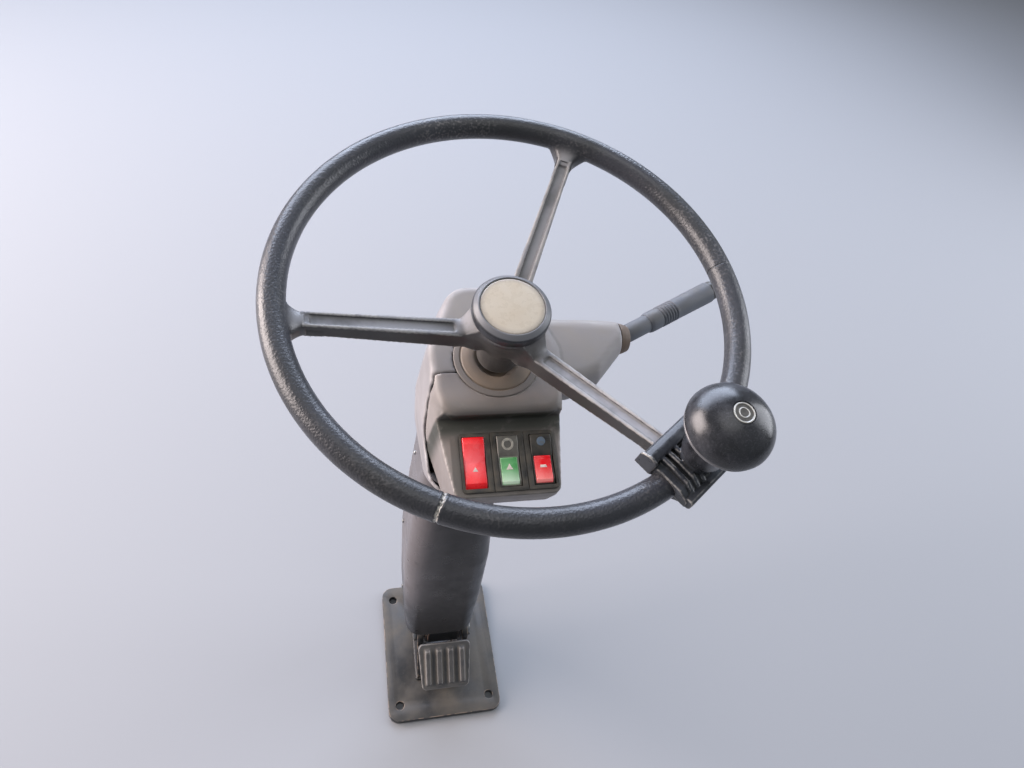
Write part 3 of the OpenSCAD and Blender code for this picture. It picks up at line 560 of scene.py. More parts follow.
def ivory_enamel():
    """Enamelled steel under a clear coat: pale warm ivory, evenly glossy, greyer at its edge."""
    material, tree, shader, where = finish("ivory_enamel", 0.25, IOR=1.5, Coat_Weight=0.6,
                                           Coat_Roughness=0.12)
    painted(tree, shader, ["#cdc3b2", (blotches(tree, where, 22, 0.35, 0.7), "#c7baa6"),
                           (mark(tree, "rimward", 0.8, 0.97), "#a79d90")])
    levels(tree, shader, "Roughness", blotches(tree, where, 5, 0.3, 0.7), 0.2, 0.38)
    relief(tree, shader, (blotches(tree, where, 4, 0.2, 0.8), 0.02, 0.4))
    return material


def polished_resin(name, worn, rough):
    """Moulded resin, hand-polished: deep black with a bluish gloss, finely scratched, and greyed
    where hands have rubbed it; on the hub's cap that grey also stands for a painted sheen."""
    material, tree, shader, where = finish(name, rough + 0.06, IOR=1.6)
    haze = blotches(tree, where, 15, 0.36, 0.66)
    scratches = blotches(tree, where, 1.1, 0.52, 0.6, detail=6, rough=0.7)
    painted(tree, shader, ["#1f2023", (haze, "#2c2d32"),
                           (product(tree, scratches, haze), "#45464b"),
                           (mark(tree, "edge", 0.0, 1.0), worn)])
    levels(tree, shader, "Roughness", haze, rough, rough + 0.16)
    relief(tree, shader, (scratches, 0.02, 0.4), (blotches(tree, where, 7, 0.2, 0.8), 0.06, 0.3))
    return material


def nickel_medallion():
    """Nickel-plated brass pressing, dull: grey in its hollows, with raised lines worn bright."""
    material, tree, shader, where = finish("dull_nickel", 0.36, metallic=0.55)
    painted(tree, shader, ["#6f6d69", (blotches(tree, where, 4, 0.38, 0.64), "#5b5955"),
                           (mark(tree, "edge", 0.2, 0.8), "#d8d5ce")])
    relief(tree, shader, (blotches(tree, where, 0.9, 0.2, 0.8), 0.03, 0.5))
    return material


def marking_paint(name, code, rubbed):
    """Hot-stamped marking foil on a switch: flat, pale and slightly rubbed away."""
    material, tree, shader, where = finish(name, 0.5)
    painted(tree, shader, [code, (blotches(tree, where, 2, 0.45, 0.65), rubbed)])
    relief(tree, shader, (blotches(tree, where, 0.8, 0.2, 0.8), 0.02, 0.4))
    return material


def clamp_casting():
    """Zinc die-casting with a thick black coat: glossy, worn through to bright metal on its sharp
    edges and ribs, dull and darker in the inner corners between them."""
    material, tree, shader, where = finish("black_coated_zinc_casting", 0.32)
    ridge = product(tree, mark(tree, "edge", 0.35, 0.85), blotches(tree, where, 7, 0.36, 0.54))
    painted(tree, shader, ["#2e3034", (blotches(tree, where, 12, 0.38, 0.66), "#43464c"),
                           (mark(tree, "cranny", 0.15, 0.8), "#191817"), (ridge, "#a19e9a")])
    levels(tree, shader, "Metallic", ridge, 0.0, 0.35)
    levels(tree, shader, "Roughness", blotches(tree, where, 6, 0.3, 0.7), 0.24, 0.42)
    relief(tree, shader, (blotches(tree, where, 1.2, 0.2, 0.8), 0.05, 0.45))
    return material


def turned_steel():
    """Free-cutting steel, turned and left bare: even grey, fine tool rings and a dull tarnish."""
    material, tree, shader, where = finish("turned_steel", 0.34, metallic=1.0)
    # Tool rings 0.35 mm apart
    rings = node(tree, "ShaderNodeTexWave", {"Vector": where, "Scale": 900.0, "Distortion": 0.6},
                 bands_direction="X").outputs["Fac"]
    tarnish = blotches(tree, where, 8, 0.4, 0.7)
    painted(tree, shader, ["#9c9ea0", (tarnish, "#77736c")])
    levels(tree, shader, "Roughness", tarnish, 0.28, 0.54)
    relief(tree, shader, (rings, 0.01, 0.5))
    return material


def hard_chrome():
    """Ground and hard-chromed steel rod: a bright even mirror with the faintest grinding haze."""
    material, tree, shader, where = finish("hard_chrome", 0.1, metallic=1.0)
    haze = blotches(tree, where, 5, 0.35, 0.7)
    painted(tree, shader, ["#d6d8da", (haze, "#c3c5c8")])
    levels(tree, shader, "Roughness", haze, 0.06, 0.18)
    relief(tree, shader, (blotches(tree, where, 0.7, 0.2, 0.8), 0.004, 0.4))
    return material


def painted_steel(name, code, chip, bare):
    """Mild steel under stoved black paint: satin with orange peel, chipped to rusty metal on its
    edges and filmed with dust on what faces up."""
    material, tree, shader, where = finish(name, 0.4, IOR=1.5)
    chips = product(tree, mark(tree, "edge", 0.3, 0.8), blotches(tree, where, 6, bare - 0.1, bare))
    dust = product(tree, mark(tree, "up", 0.5, 1.0), blotches(tree, where, 40, 0.28, 0.68))
    scuffs = blotches(tree, where, 3, 0.62, 0.66, detail=7, rough=0.65)
    painted(tree, shader, [code, (dust, "#5d574f"), (scuffs, "#4c4a48"), (chips, chip)])
    levels(tree, shader, "Roughness", dust, 0.36, 0.75)
    relief(tree, shader, (blotches(tree, where, 2.2, 0.2, 0.8), 0.05, 0.4))
    return material


def pad_rubber():
    """Moulded nitrile rubber: dull dark grey, ribs polished by boots and grooves full of dust."""
    material, tree, shader, where = finish("nitrile_rubber", 0.75, IOR=1.52)
    dust = blotches(tree, where, 14, 0.3, 0.62)
    painted(tree, shader, ["#48484a", (dust, "#5f5d5b"),
                           (mark(tree, "cranny", 0.1, 0.7), "#6f6962"),
                           (mark(tree, "edge", 0.35, 0.9), "#86827f")])
    levels(tree, shader, "Roughness", dust, 0.6, 0.85)
    relief(tree, shader, (blotches(tree, where, 0.9, 0.2, 0.8), 0.08, 0.6))
    return material


def collar_moulding():
    """Acetal moulding, tan under settled brown dust, greyer on its flat flange."""
    material, tree, shader, where = finish("moulded_acetal_dusty", 0.5, IOR=1.48)
    dust = blotches(tree, where, 18, 0.3, 0.66)
    painted(tree, shader, ["#84776b", (dust, "#938271"),
                           (mark(tree, "flange", 0.3, 0.7), "#827a74")])
    levels(tree, shader, "Roughness", dust, 0.42, 0.7)
    relief(tree, shader, (blotches(tree, where, 1.5, 0.2, 0.8), 0.05, 0.5))
    return material


def studio_paper():
    """Matt paper backdrop: one even pale grey."""
    material, _, shader, _ = finish("matt_studio_paper", 0.9)
    shader.inputs["Base Color"].default_value = colour("#98999c")
    return material


skin = rim_skin()
casting = coated_casting()
# Covers, all polypropylene: the shell chalked light grey, the lid warmer under brown dust, and the
# lower cover nearly black and glossier. On each, what faces up is paler from dust and a painted top
# light; the lid is painted darker under its brow as painted shade, and the lower cover paler on its
# left as painted light.
shell = cover_plastic("moulded_polypropylene_grey", "#878485", "#948e89", "#aca7a7", "#989495")
lid = cover_plastic("moulded_polypropylene_dusty", "#7c7573", "#92877f", "#aca49f", "#918a86")
skirt = cover_plastic("moulded_polypropylene_dark", "#131214", "#4b4743", "#454243", "#1b1a1c",
                      rough=0.24, painted_shading_colour="#6d6768")
# Stalk, nylon with a finer grain: blue-grey, in a socket gone tan with dust
stalk_grey = cover_plastic("moulded_nylon_grey", "#575b63", "#64615d", "#83868d", "#686c74",
                           size=0.7)
socket_brown = cover_plastic("moulded_nylon_brown", "#635449", "#7a695b", "#84756a", "#6d5e52")
black_nylon = black_switch_plastic()
red_lamp = lamp_plastic("polycarbonate_red", "#ee1420", "#ff5f66", "#ff8f8a")
green_lamp = lamp_plastic("polycarbonate_green", "#4f9c58", "#9ccb97", "#c8dfc4")
grey_abs = grey_rocker_plastic()
enamel = ivory_enamel()
# The knob is phenolic with a deep polish, the hub's cap plain ABS, duller and worn paler, its
# chamfer painted paler still as a painted sheen
phenolic = polished_resin("polished_phenolic_black", "#6b6b6e", 0.2)
cap_black = polished_resin("moulded_abs_black", "#76777b", 0.3)
nickel = nickel_medallion()
white_mark = marking_paint("pale_marking_foil", "#f6e6dc", "#d9bdb2")
grey_mark = marking_paint("grey_marking_foil", "#b3ada0", "#8f8b83")
blue_mark = marking_paint("blue_marking_foil", "#66798c", "#6f7478")
zinc = clamp_casting()
steel = turned_steel()
chrome = hard_chrome()
# Painted steel: the column satin black, the floor parts scuffed through to paler metal more often,
# and the unit's iron in grey primer
frame_paint = painted_steel("stoved_black_paint", "#232426", "#7c6250", 0.62)
floor_paint = painted_steel("scuffed_black_paint", "#2a2b2d", "#8a7a6c", 0.56)
unit_paint = painted_steel("grey_primer_on_iron", "#4a4e52", "#6f665c", 0.62)
rubber = pad_rubber()
tan = collar_moulding()


# Steering wheel

# Where the rim's skin is marked, in degrees round the rim. Near a mark the mesh is much finer.
SEAMS = {"split": 246.0, "joint": 7.75}
FINE_REACH, FINE_STEP, RIM_STEPS = 2.2, 0.1, 44
# The skin lies a little inside its size, by which its waves stay within it
SKIN_INSET, SKIN_WAVE = 0.05, 0.08
# The split's groove and the lips beside it, and the tight joint of the mould
SPLIT_WIDTH, SPLIT_DEPTH, LIP_OFF, LIP_WIDTH, LIP_RISE = 0.9, 0.9, 2.2, 0.7, 0.15
STAIN_WIDTH, JOINT_WIDTH, JOINT_DEPTH = 1.5, 0.35, 0.3

# Cuff: from where to where it runs, then its half width, top and foot, each as its value at the
# spoke and what it gains towards the rim, with the squareness of its section
CUFF = (149.5, 168.0)
CUFF_HALF, CUFF_TOP, CUFF_FOOT, SQUARENESS = (7.2, 14.5), (-2.55, 9.2), (-16.4, 7.0), 3.2
CUFF_STEPS, CUFF_ROWS, CUFF_GRID = 32, 20, 0.75
# Stretch of the rim in a cuff, in degrees to either side, and the rounds that fill the corner
CUFF_SWEEP, SWEEP_ROWS, CUFF_FILL = 13, 53, 110

# A spoke is cut off inside its cuff and closed by two blocks, each given as how far back it starts
# from the cuff, its foot and top, and its half width. The blocks fall as the spokes do.
SPOKE_END = CUFF[0] + 2.5
SPOKE_FALL = 0.294
SPOKE_BLOCKS = ((3.0, -8.0, -3.0, 5.4), (11.0, -15.5, -9.0, 6.6))
# Radii between which the hub's fillets and its brown stain fade out
SPIDER_GRID, HUB_FILL, HUB_FILLET, HUB_STAIN = 0.8, 160, (36, 43), (30, 62)


def noise_at(*spot):
    """Smooth noise between -1 and 1 at a spot."""
    return noise.noise(Vector(spot))


def build_rim():
    """The rim's foam skin, with the split where it has cracked and the tight joint of the mould."""
    angles = list(np.arange(0, 360, 1.0))
    for middle in SEAMS.values():
        angles = [a for a in angles if abs((a - middle + 180) % 360 - 180) > FINE_REACH]
        angles += [middle + d for d in np.arange(-FINE_REACH, FINE_REACH + 0.01, FINE_STEP)]
    angles = sorted(a % 360 for a in angles)
    points, marks = [], {"split": [], "joint": []}
    for a in angles:
        cos_a, sin_a = math.cos(math.radians(a)), math.sin(math.radians(a))
        for k in range(RIM_STEPS):
            v = 2 * math.pi * k / RIM_STEPS
            radius = RIM_R - SKIN_INSET + SKIN_WAVE * noise_at(cos_a * 6, sin_a * 6, v * 6)
            off = {}
            for name, middle in SEAMS.items():
                along = ((a - middle + 180) % 360 - 180) * math.pi / 180 * RIM_MID
                off[name] = along + 0.8 * noise_at(v * 2, middle, 0.3)
            ragged = 0.75 + 0.7 * noise_at(v * 5, 1.7, off["split"])
            split = math.exp(-(off["split"] / (SPLIT_WIDTH * ragged)) ** 2)
            lips = math.exp(-((abs(off["split"]) - LIP_OFF) / LIP_WIDTH) ** 2)
            joint = math.exp(-(off["joint"] / JOINT_WIDTH) ** 2)
            radius += -SPLIT_DEPTH * split - JOINT_DEPTH * joint + LIP_RISE * lips
            marks["split"].append(math.exp(-(off["split"] / (STAIN_WIDTH * ragged)) ** 2))
            marks["joint"].append(joint)
            out = RIM_MID + radius * math.cos(v)
            points.append((out * cos_a, out * sin_a, radius * math.sin(v)))
    mesh = to_mesh("rim.skin", points, band(len(angles), RIM_STEPS, closed=True), SHAFT)
    for name, values in marks.items():
        store(mesh, name, values)
    dress(add_piece("rim.skin", mesh), skin, "wheel", "rim", slot="rim_foam")
    for index, angle in enumerate(SPOKES):
        build_cuff(f"rim.cuff_{index + 1}", angle)


def build_cuff(name, angle):
    """Sleeve of the rim's skin that runs down onto a spoke, merged with a stretch of the rim."""
    points = []
    reaches = np.linspace(CUFF[0], CUFF[1], CUFF_ROWS)
    for reach in reaches:
        t = float(smooth_step(CUFF[0], CUFF[1] + 3, reach))
        half = CUFF_HALF[0] + CUFF_HALF[1] * t ** 1.15
        top, foot = CUFF_TOP[0] + CUFF_TOP[1] * t, CUFF_FOOT[0] + CUFF_FOOT[1] * t
        for across, up, _ in ring(1.0, 0, CUFF_STEPS):
            ease = (abs(across) ** SQUARENESS + abs(up) ** SQUARENESS) ** (-1 / SQUARENESS)
            points.append((reach, half * ease * across,
                           (top + foot) / 2 + (top - foot) / 2 * ease * up))
    rows, base = len(reaches), len(points)
    faces = band(rows, CUFF_STEPS) + lids(rows, CUFF_STEPS)
    sweep = np.radians(np.linspace(-CUFF_SWEEP, CUFF_SWEEP, SWEEP_ROWS))
    section = ring(RIM_R - 0.3, 0, CUFF_STEPS)
    for a in sweep:
        points += [((RIM_MID + x) * math.cos(a), (RIM_MID + x) * math.sin(a), y)
                   for x, y, _ in section]
    faces += band(len(sweep), CUFF_STEPS, base) + lids(len(sweep), CUFF_STEPS, base)
    place = SHAFT @ Matrix.Rotation(math.radians(angle), 4, "Z")
    piece = add_piece(name, to_mesh(name, points, faces, place))
    recast(piece, CUFF_GRID, 4)
    filleted(piece.data, CUFF_FILL, np.full(len(piece.data.vertices), 1.0, "f"))
    reach = from_shaft(piece.data)
    store(piece.data, "bare", 1 - smooth_step(CUFF[0] + 4, RIM_MID - RIM_R + 3, reach))
    for mark_name in SEAMS:
        store(piece.data, mark_name, reach * 0)
    dress(piece, skin, "wheel", slot="rim_foam")


def end_block(work, place, near, low, high, half):
    """A block at a spoke's end: it closes the channel there, or carries the underside on."""
    fall = SPOKE_FALL * (SPOKE_END - near)
    side_view = (near, low - fall), (SPOKE_END, low), (SPOKE_END, high), (near, high - fall)
    corners = [work.verts.new(place @ (Vector((r, side * half, h)) * MM))
               for r, h in side_view for side in (-1, 1)]
    for face in ((0, 1, 3, 2), (2, 3, 5, 4), (4, 5, 7, 6), (6, 7, 1, 0), (0, 2, 4, 6),
                 (7, 5, 3, 1)):
        work.faces.new([corners[k] for k in face])


def build_spider():
    """Hub and spokes as one casting with full fillets; each spoke ends inside the rim's cuff."""
    piece = cad_copy("spider")
    work = bmesh.new()
    work.from_mesh(piece.data)
    for angle in SPOKES:
        place = SHAFT @ Matrix.Rotation(math.radians(angle), 4, "Z")
        aim = place.col[0].to_3d()
        cut = bmesh.ops.bisect_plane(work, geom=work.verts[:] + work.edges[:] + work.faces[:],
                                     plane_co=SHAFT.translation + aim * SPOKE_END * MM,
                                     plane_no=aim, clear_outer=True)
        rim_edges = [e for e in cut["geom_cut"] if isinstance(e, bmesh.types.BMEdge)]
        bmesh.ops.holes_fill(work, edges=rim_edges)
        for back, low, high, half in SPOKE_BLOCKS:
            end_block(work, place, CUFF[0] - back, low, high, half)
    bmesh.ops.recalc_face_normals(work, faces=work.faces)
    work.to_mesh(piece.data)
    work.free()
    recast(piece, SPIDER_GRID, 5)
    mesh = piece.data
    reach = from_shaft(mesh)
    filleted(mesh, HUB_FILL, 1 - smooth_step(*HUB_FILLET, reach))
    measure_edges(mesh, SPIDER_GRID)
    store(mesh, "near_hub", 1 - smooth_step(*HUB_STAIN, reach))
    dress(piece, casting, "wheel", "spider", slot="spoke_cast")


def build_hub_cap():
    """Black cap with a broad worn chamfer, also painted paler as a painted sheen, round an ivory
    disc.
    """
    bore, floor, crown = CAP_R - 12, CAP_TOP - 3, CAP_TOP - 0.8
    outline = eased([(bore, HUB_TOP + 8), (bore, HUB_TOP + 0.3), (CAP_R - 1, HUB_TOP + 0.3),
                     (CAP_R, HUB_TOP + 1.5), (CAP_R, CAP_TOP - 4.6),
                     (CAP_R - 1.0, CAP_TOP - 3.0, 0.4), (CAP_R - 4.2, CAP_TOP - 0.3),
                     (DISC_R, CAP_TOP - 0.2), (DISC_R - 0.5, CAP_TOP - 1.2),
                     (DISC_R - 0.6, floor)], 0.8)
    mesh = turned("hub_cap.ring", [(0, HUB_TOP + 8)] + outline + [(0, floor)], SHAFT, 144)
    # The chamfer's paler colour: wear, and a painted sheen
    store(mesh, "edge", smooth_step(CAP_TOP - 3.6, CAP_TOP - 2.6, in_shaft(mesh)[:, 2]))
    dress(add_piece("hub_cap.ring", mesh), cap_black, "wheel", "hub_cap", slot="cap_black")
    disc = [(0, floor), (DISC_R - 0.7, floor), (DISC_R - 0.7, CAP_TOP - 1.2), (DISC_R - 1.2, crown)]
    disc += [(r, crown + 0.9 * (1 - (r / DISC_R) ** 2)) for r in np.linspace(DISC_R - 2, 0, 12)]
    mesh = turned("cap_disc.enamel", disc, SHAFT, 144)
    store(mesh, "rimward", from_shaft(mesh) / DISC_R)
    dress(add_piece("cap_disc.enamel", mesh), enamel, "wheel", "cap_disc", slot="cap_ivory")


def build_knob():
    """Clamp of the knob as two castings, its post, and the turned knob with its medallion."""
    dress_moulded("clamp_upper", 0.6, 3, zinc, "wheel", "clamp_cast")
    dress_moulded("clamp_lower", 0.7, 4, zinc, "wheel", "clamp_cast")
    dress_edged("knob_post", 0.4, steel, "wheel", "pin_steel")
    bore, roof, floor = POST_R + RUN_GAP, LIP + BORE_DEPTH, DOME_TOP - 2.5
    lower = eased([(bore, KNOB_FOOT, 0), (NECK_R - 2, KNOB_FOOT), (NECK_R, KNOB_FOOT + 2),
                   (NECK_R, LIP - 7), (DOME_R - 4, LIP - 2), (DOME_R - 0.8, LIP - 1),
                   (DOME_R - 0.6, LIP + 0.6), (DOME_R - 1.6, LIP + 1.4), (DOME_R - 0.1, LIP + 2.4),
                   (DOME_R, LIP + 3.4)], 0.7)
    dome = [(DOME_R * math.cos(t), LIP + 3 + (DOME_TOP - LIP - 3) * math.sin(t))
            for t in np.linspace(0.03, math.acos(INLAY_R / DOME_R), 40)]
    seat = [(INLAY_R - 0.2, DOME_TOP - 1.3), (INLAY_R - 0.4, floor), (0, floor)]
    place = KNOB @ Matrix.Translation((0, 0, -KNOB_RISE * MM))
    mesh = turned("knob_body.polished", lower + dome + seat, place, 144)
    hollow = turned("bore", [(0, roof), (bore, roof), (bore, KNOB_FOOT)], place, 144)
    work = bmesh.new()
    work.from_mesh(mesh)
    work.from_mesh(hollow)
    bmesh.ops.remove_doubles(work, verts=work.verts, dist=1e-6)
    work.to_mesh(mesh)
    work.free()
    bpy.data.meshes.remove(hollow)
    height = in_shaft(mesh)[:, 2]
    rubbed_lip = 1 - smooth_step(LIP + 0.9, LIP + 3.4, height)
    store(mesh, "edge", np.where(height < LIP - 1.2, 0.0, rubbed_lip))
    dress(add_piece("knob_body.polished", mesh), phenolic, "knob", "knob_body", slot="knob_black")
    r, line, field = INLAY_R - 0.3, DOME_TOP - 0.7, DOME_TOP - 1.2
    medallion = eased([(0, floor), (r, floor, 0), (r, DOME_TOP - 1.3, 0.3), (r - 0.9, line, 0.4),
                       (r - 1.7, DOME_TOP - 1.3, 0.3), (r - 3.4, field, 0.2),
                       (r - 4.0, DOME_TOP - 0.8, 0.3), (r - 4.6, field, 0.2),
                       (0, DOME_TOP - 1.1)], 0.3)
    mesh = turned("knob_inlay.ring", medallion, place, 96)
    store(mesh, "edge", smooth_step(DOME_TOP - 1.15, DOME_TOP - 0.8, in_shaft(mesh)[:, 2]))
    dress(add_piece("knob_inlay.ring", mesh), nickel, "knob", "knob_inlay", slot="rocker_grey")


# Head, column and base

# The shell's middle across the shaft, and how far its inner wall is drawn in at three heights
SHELL_MIDDLE = np.array((-2.0, 0.0))
SHELL_THICKENING = (-228, -203, -165), (2.3, 1.6, 0.0)
# The panel's flat surround: its upper edge forward and up, and how near a point of it must lie
SURROUND_Y, SURROUND_Z, SURROUND_NEAR = -49, DECK - 15, 1.6
# Signs on the switches: name, carrier, column, place up the panel, shape, half its size, finish
SIGNS = (("mark_left", "rocker_left", -1, -5.5, "wedge", 2.2, white_mark),
         ("mark_green", "lens_middle", 0, -5.0, "wedge", 2.8, white_mark),
         ("mark_ring", "rocker_middle", 0, 13.5, "ring", 5.0, grey_mark),
         ("mark_blue", "rocker_right", 1, 14.5, "disc", 3.6, blue_mark),
         ("mark_right", "lens_right", 1, -6.0, "bar", 3.0, white_mark))
# Turned ribs of the stalk's grip: how many, their pitch, and where they start
RIBS, RIB_PITCH, RIB_START = 6, 3.2, 15


def thicken_foot(mesh):
    """Draws the shell's inner wall in near its foot, where it is too thin for the grid. A face
    belongs to that wall where it looks well back towards the middle."""
    points, axes = in_shaft(mesh), np.array(SHAFT.to_3x3())
    inner = np.zeros(len(points), bool)
    for face in mesh.polygons:
        corners = list(face.vertices)
        outward = points[corners, :2].mean(0) - SHELL_MIDDLE
        if (np.array(face.normal) @ axes)[:2] @ outward < -0.4 * np.linalg.norm(outward):
            inner[corners] = True
    draw = inner * np.interp(points[:, 2], *SHELL_THICKENING)
    inward = SHELL_MIDDLE - points[:, :2]
    points[:, :2] += inward / np.linalg.norm(inward, axis=1)[:, None] * draw[:, None]
    set_points(mesh, points * MM @ axes.T + np.array(SHAFT.translation))


def build_head():
    """Covers with their dust and painted shading, the collar, the shaft, and the steel inside and
    below.
    """
    dress_moulded("rear_shell", 1.8, 5, shell, "column", "shell_plastic", thicken_foot)
    front = moulded("front_cover", 1.1, 4)
    x, y, z = in_shaft(front.data).T
    # The lid is painted darker as painted shade, most right under its brow, then round the switches
    # and beside the collar
    under_brow = smooth_step(46, 50, -y) * (1 - smooth_step(56, 72, -y)) * smooth_step(92.6, 96, -z)
    surround = SURROUND_Z + (y - SURROUND_Y) * math.tan(math.radians(PANEL_LEAN))
    flat = (np.abs(z - surround) < SURROUND_NEAR) & (np.abs(x) < PANEL_HALF)
    collar_shade = 0.5 * smooth_step(30, 50, -y) * smooth_step(DECK - 14, DECK - 8, z)
    store(front.data, "grime", np.maximum.reduce([under_brow, collar_shade, 0.55 * flat * (y < -52)]))
    dress(front, lid, "column", "front_cover", slot="shell_plastic")
    lower = moulded("lower_cover", 1.8, 4)
    across, height = [(v - v.min()) / (v.max() - v.min()) for v in points_of(lower.data).T[[0, 2]]]
    # The lower cover's left side is painted paler: painted light from the left
    painted_left_light = 0.85 * (1 - smooth_step(0.06, 0.52, across)) * smooth_step(0.1, 0.4, height)
    store(lower.data, "grime", painted_left_light)
    dress(lower, skirt, "column", "lower_cover", slot="cover_plastic")
    bore = SHAFT_R + RUN_GAP
    outline = eased([(bore, DECK - 18, 0), (bore, DECK - 8, 0.4), (SHAFT_R + 5, DECK - 8, 1.2),
                     (SHAFT_R + 8, DECK - 2, 2.0), (SHAFT_R + 10.5, DECK + 3.0, 1.5),
                     (COLLAR_R - 11, DECK + 3.4, 3), (COLLAR_R - 5.6, DECK + 1.7, 1),
                     (COLLAR_R - 4.9, DECK + 0.4, 0.3), (COLLAR_R - 4.3, DECK + 0.4, 0.3),
                     (COLLAR_R - 3.8, DECK + 1.3, 0.5), (COLLAR_R + 0.6, DECK + 0.9, 0.6),
                     (COLLAR_R + 1.1, DECK + 0.1, 0.1), (COLLAR_R, DECK - 0.3, 0.2),
                     (COLLAR_R, DECK - 5, 1), (COLLAR_R - 5, DECK - 18, 0)], 0.8, 4, closed=True)
    mesh = turned("collar.dished", outline, SHAFT, 128, closed=True)
    store(mesh, "flange", smooth_step(COLLAR_R - 4.6, COLLAR_R - 4.0, from_shaft(mesh)))
    dress(add_piece("collar.dished", mesh), tan, "column", "collar", slot="collar_metal")
    dress_edged("steering_shaft", 0.5, steel, "wheel", "pin_steel")
    dress_edged("steering_unit", 1.5, unit_paint, "column", "unit_iron")
    dress_edged("head_plate", 0.6, frame_paint, "column", "spine_steel")
    dress_edged("spine", 1.2, frame_paint, "column", "spine_steel", 3)
    dress_edged("strut_bracket", 0.6, frame_paint, "column", "spine_steel")


def build_switches():
    """Three switch cases, their rockers and the two lamp lenses, with painted highlights across
    the middle and at the foot.
    """
    for side in ("left", "middle", "right"):
        dress_edged(f"switch_case_{side}", 0.4, black_nylon, "column", "switch_black")
    for solid, material, slot in (("rocker_left", red_lamp, "rocker_red"),
                                  ("rocker_middle", grey_abs, "rocker_grey"),
                                  ("rocker_right", black_nylon, "rocker_grey"),
                                  ("lens_middle", green_lamp, "rocker_green"),
                                  ("lens_right", red_lamp, "rocker_red")):
        piece = edged(solid, 0.7, 3)
        reach = points_of(piece.data)[:, 1]
        along = (reach.max() - reach) / (reach.max() - reach.min())
        # Where the lamp colours lay their painted highlights: a band across the middle, and the
        # foot
        mid_highlight = smooth_step(0.15, 0.55, along) * (1 - smooth_step(0.7, 0.86, along))
        store(piece.data, "along", mid_highlight)
        store(piece.data, "foot", smooth_step(0.86, 0.93, along) * solid.startswith("lens"))
        dress(piece, material, "column", solid, slot=slot)
    build_signs()


def build_signs():
    """Plain generic signs on the switches, as thin plates laid on their faces."""
    disc = [(math.cos(t), math.sin(t)) for t in np.linspace(0, 2 * math.pi, 24, endpoint=False)]
    shapes = {"disc": disc, "ring": disc, "wedge": [(-1, -0.8), (1, -0.8), (0, 1)],
              "bar": [(-1, -0.35), (1, -0.35), (0.8, 0.4), (-0.8, 0.4)]}
    side_of_panel, into_panel, above = PANEL.col[0].to_3d(), -PANEL.col[2].to_3d(), 40.0
    for name, carrier, column, up, shape, size, material in SIGNS:
        outline = shapes[shape]
        start = PANEL @ (Vector((column * SWITCH_PITCH, up, above)) * MM)
        spot, facing = surface_spot(bpy.data.objects[carrier + ".dressed"], start, into_panel)
        side = (side_of_panel - side_of_panel.dot(facing) * facing).normalized()
        place = Matrix((side, facing.cross(side), facing)).transposed().to_4x4()
        place.translation = spot
        rows = [(1.0, -0.3), (1.0, 0.16), (0.9, 0.24)]      # share of the size, and height
        if shape == "ring":
            rows += [(0.66, 0.24), (0.58, -0.25)]
        points = [(size * k * x, size * k * y, z) for k, z in rows for x, y in outline]
        faces = band(len(rows), len(outline)) + lids(len(rows), len(outline))
        plate = add_piece(name, to_mesh(name, points, faces, place))
        plate.data.set_sharp_from_angle(angle=math.radians(30))
        dress(plate, material, "column", slot="switch_black")


def build_stalk():
    """The stalk in its socket: a round arm, a grip with turned ribs, and a cap at the tip."""
    along = (SHAFT @ Matrix.Translation(Vector(STALK_SEAT) * MM)
             @ Matrix.Rotation(math.radians(90), 4, "Y")
             @ Matrix.Rotation(math.radians(-STALK_TURN), 4, "X"))
    dress_moulded("stalk_socket", 0.5, 4, socket_brown, "column", "shell_plastic")
    dress_edged("stalk_arm", 0.4, stalk_grey, "column", "stalk_plastic")
    start, end = ARM_LEN, ARM_LEN + GRIP_LEN
    groove, crest = GRIP_R - 0.9, GRIP_R + 0.2
    ribs = []
    for k in range(RIBS):
        at = start + RIB_START + RIB_PITCH * k
        ribs += [(groove, at), (groove, at + 1.4), (crest, at + 1.6), (crest, at + 2.8)]
    outline = eased([(0, start), (ARM_R + 0.5, start), (GRIP_R, start + 3, 1.5),
                     (GRIP_R, start + 14)] + ribs
                    + [(GRIP_R, start + 36), (GRIP_R + 0.4, end), (0, end)], 0.5)
    grip = add_piece("stalk_grip.turned", turned("stalk_grip.turned", outline, along, 72))
    dress(grip, stalk_grey, "column", "stalk_grip", slot="stalk_plastic")
    outline = eased([(0, end), (GRIP_R - 0.5, end), (GRIP_R - 0.5, end + 6.5, 2),
                     (GRIP_R - 3, end + 9.6, 2), (0, end + 10.3)], 0.8, 5)
    tip = add_piece("stalk_tip.turned", turned("stalk_tip.turned", outline, along, 72))
    dress(tip, black_nylon, "column", "stalk_tip", slot="switch_black")


def build_base():
    """Floor plate, pivot, release pedal and gas spring."""
    for solid, width in (("floor_plate", 1.0), ("pivot_ears", 0.8)):
        dress_edged(solid, width, floor_paint, "base", "floor_steel")
    dress_edged("pivot_pin", 0.6, steel, "base", "pin_steel")
    for solid, width in (("strut_foot", 0.6), ("release_lever", 0.8)):
        dress_edged(solid, width, floor_paint, "base", "floor_steel")
    dress_moulded("release_pad", 0.9, 3, rubber, "base", "pedal_rubber")
    dress_edged("strut_barrel", 0.5, frame_paint, "spring_barrel", "spring_black")
    dress_edged("strut_rod", 0.4, chrome, "spring_rod", "rod_chrome")


# Repeated pieces

# Cover screws, in metres: how far forward and how high. Those of the lower cover follow its lean.
# A line that starts beside the cover finds each one's place on it.
COVER_BACK, COVER_LEAN, LEAN_FROM, BESIDE = 0.017, 0.0925, 0.060, 0.3
COVER_SCREWS = [(COVER_BACK + COVER_LEAN * (h - LEAN_FROM), h) for h in (0.150, 0.285, 0.400)]
SHELL_SCREWS = [(0.078, 0.485), (0.062, 0.560)]
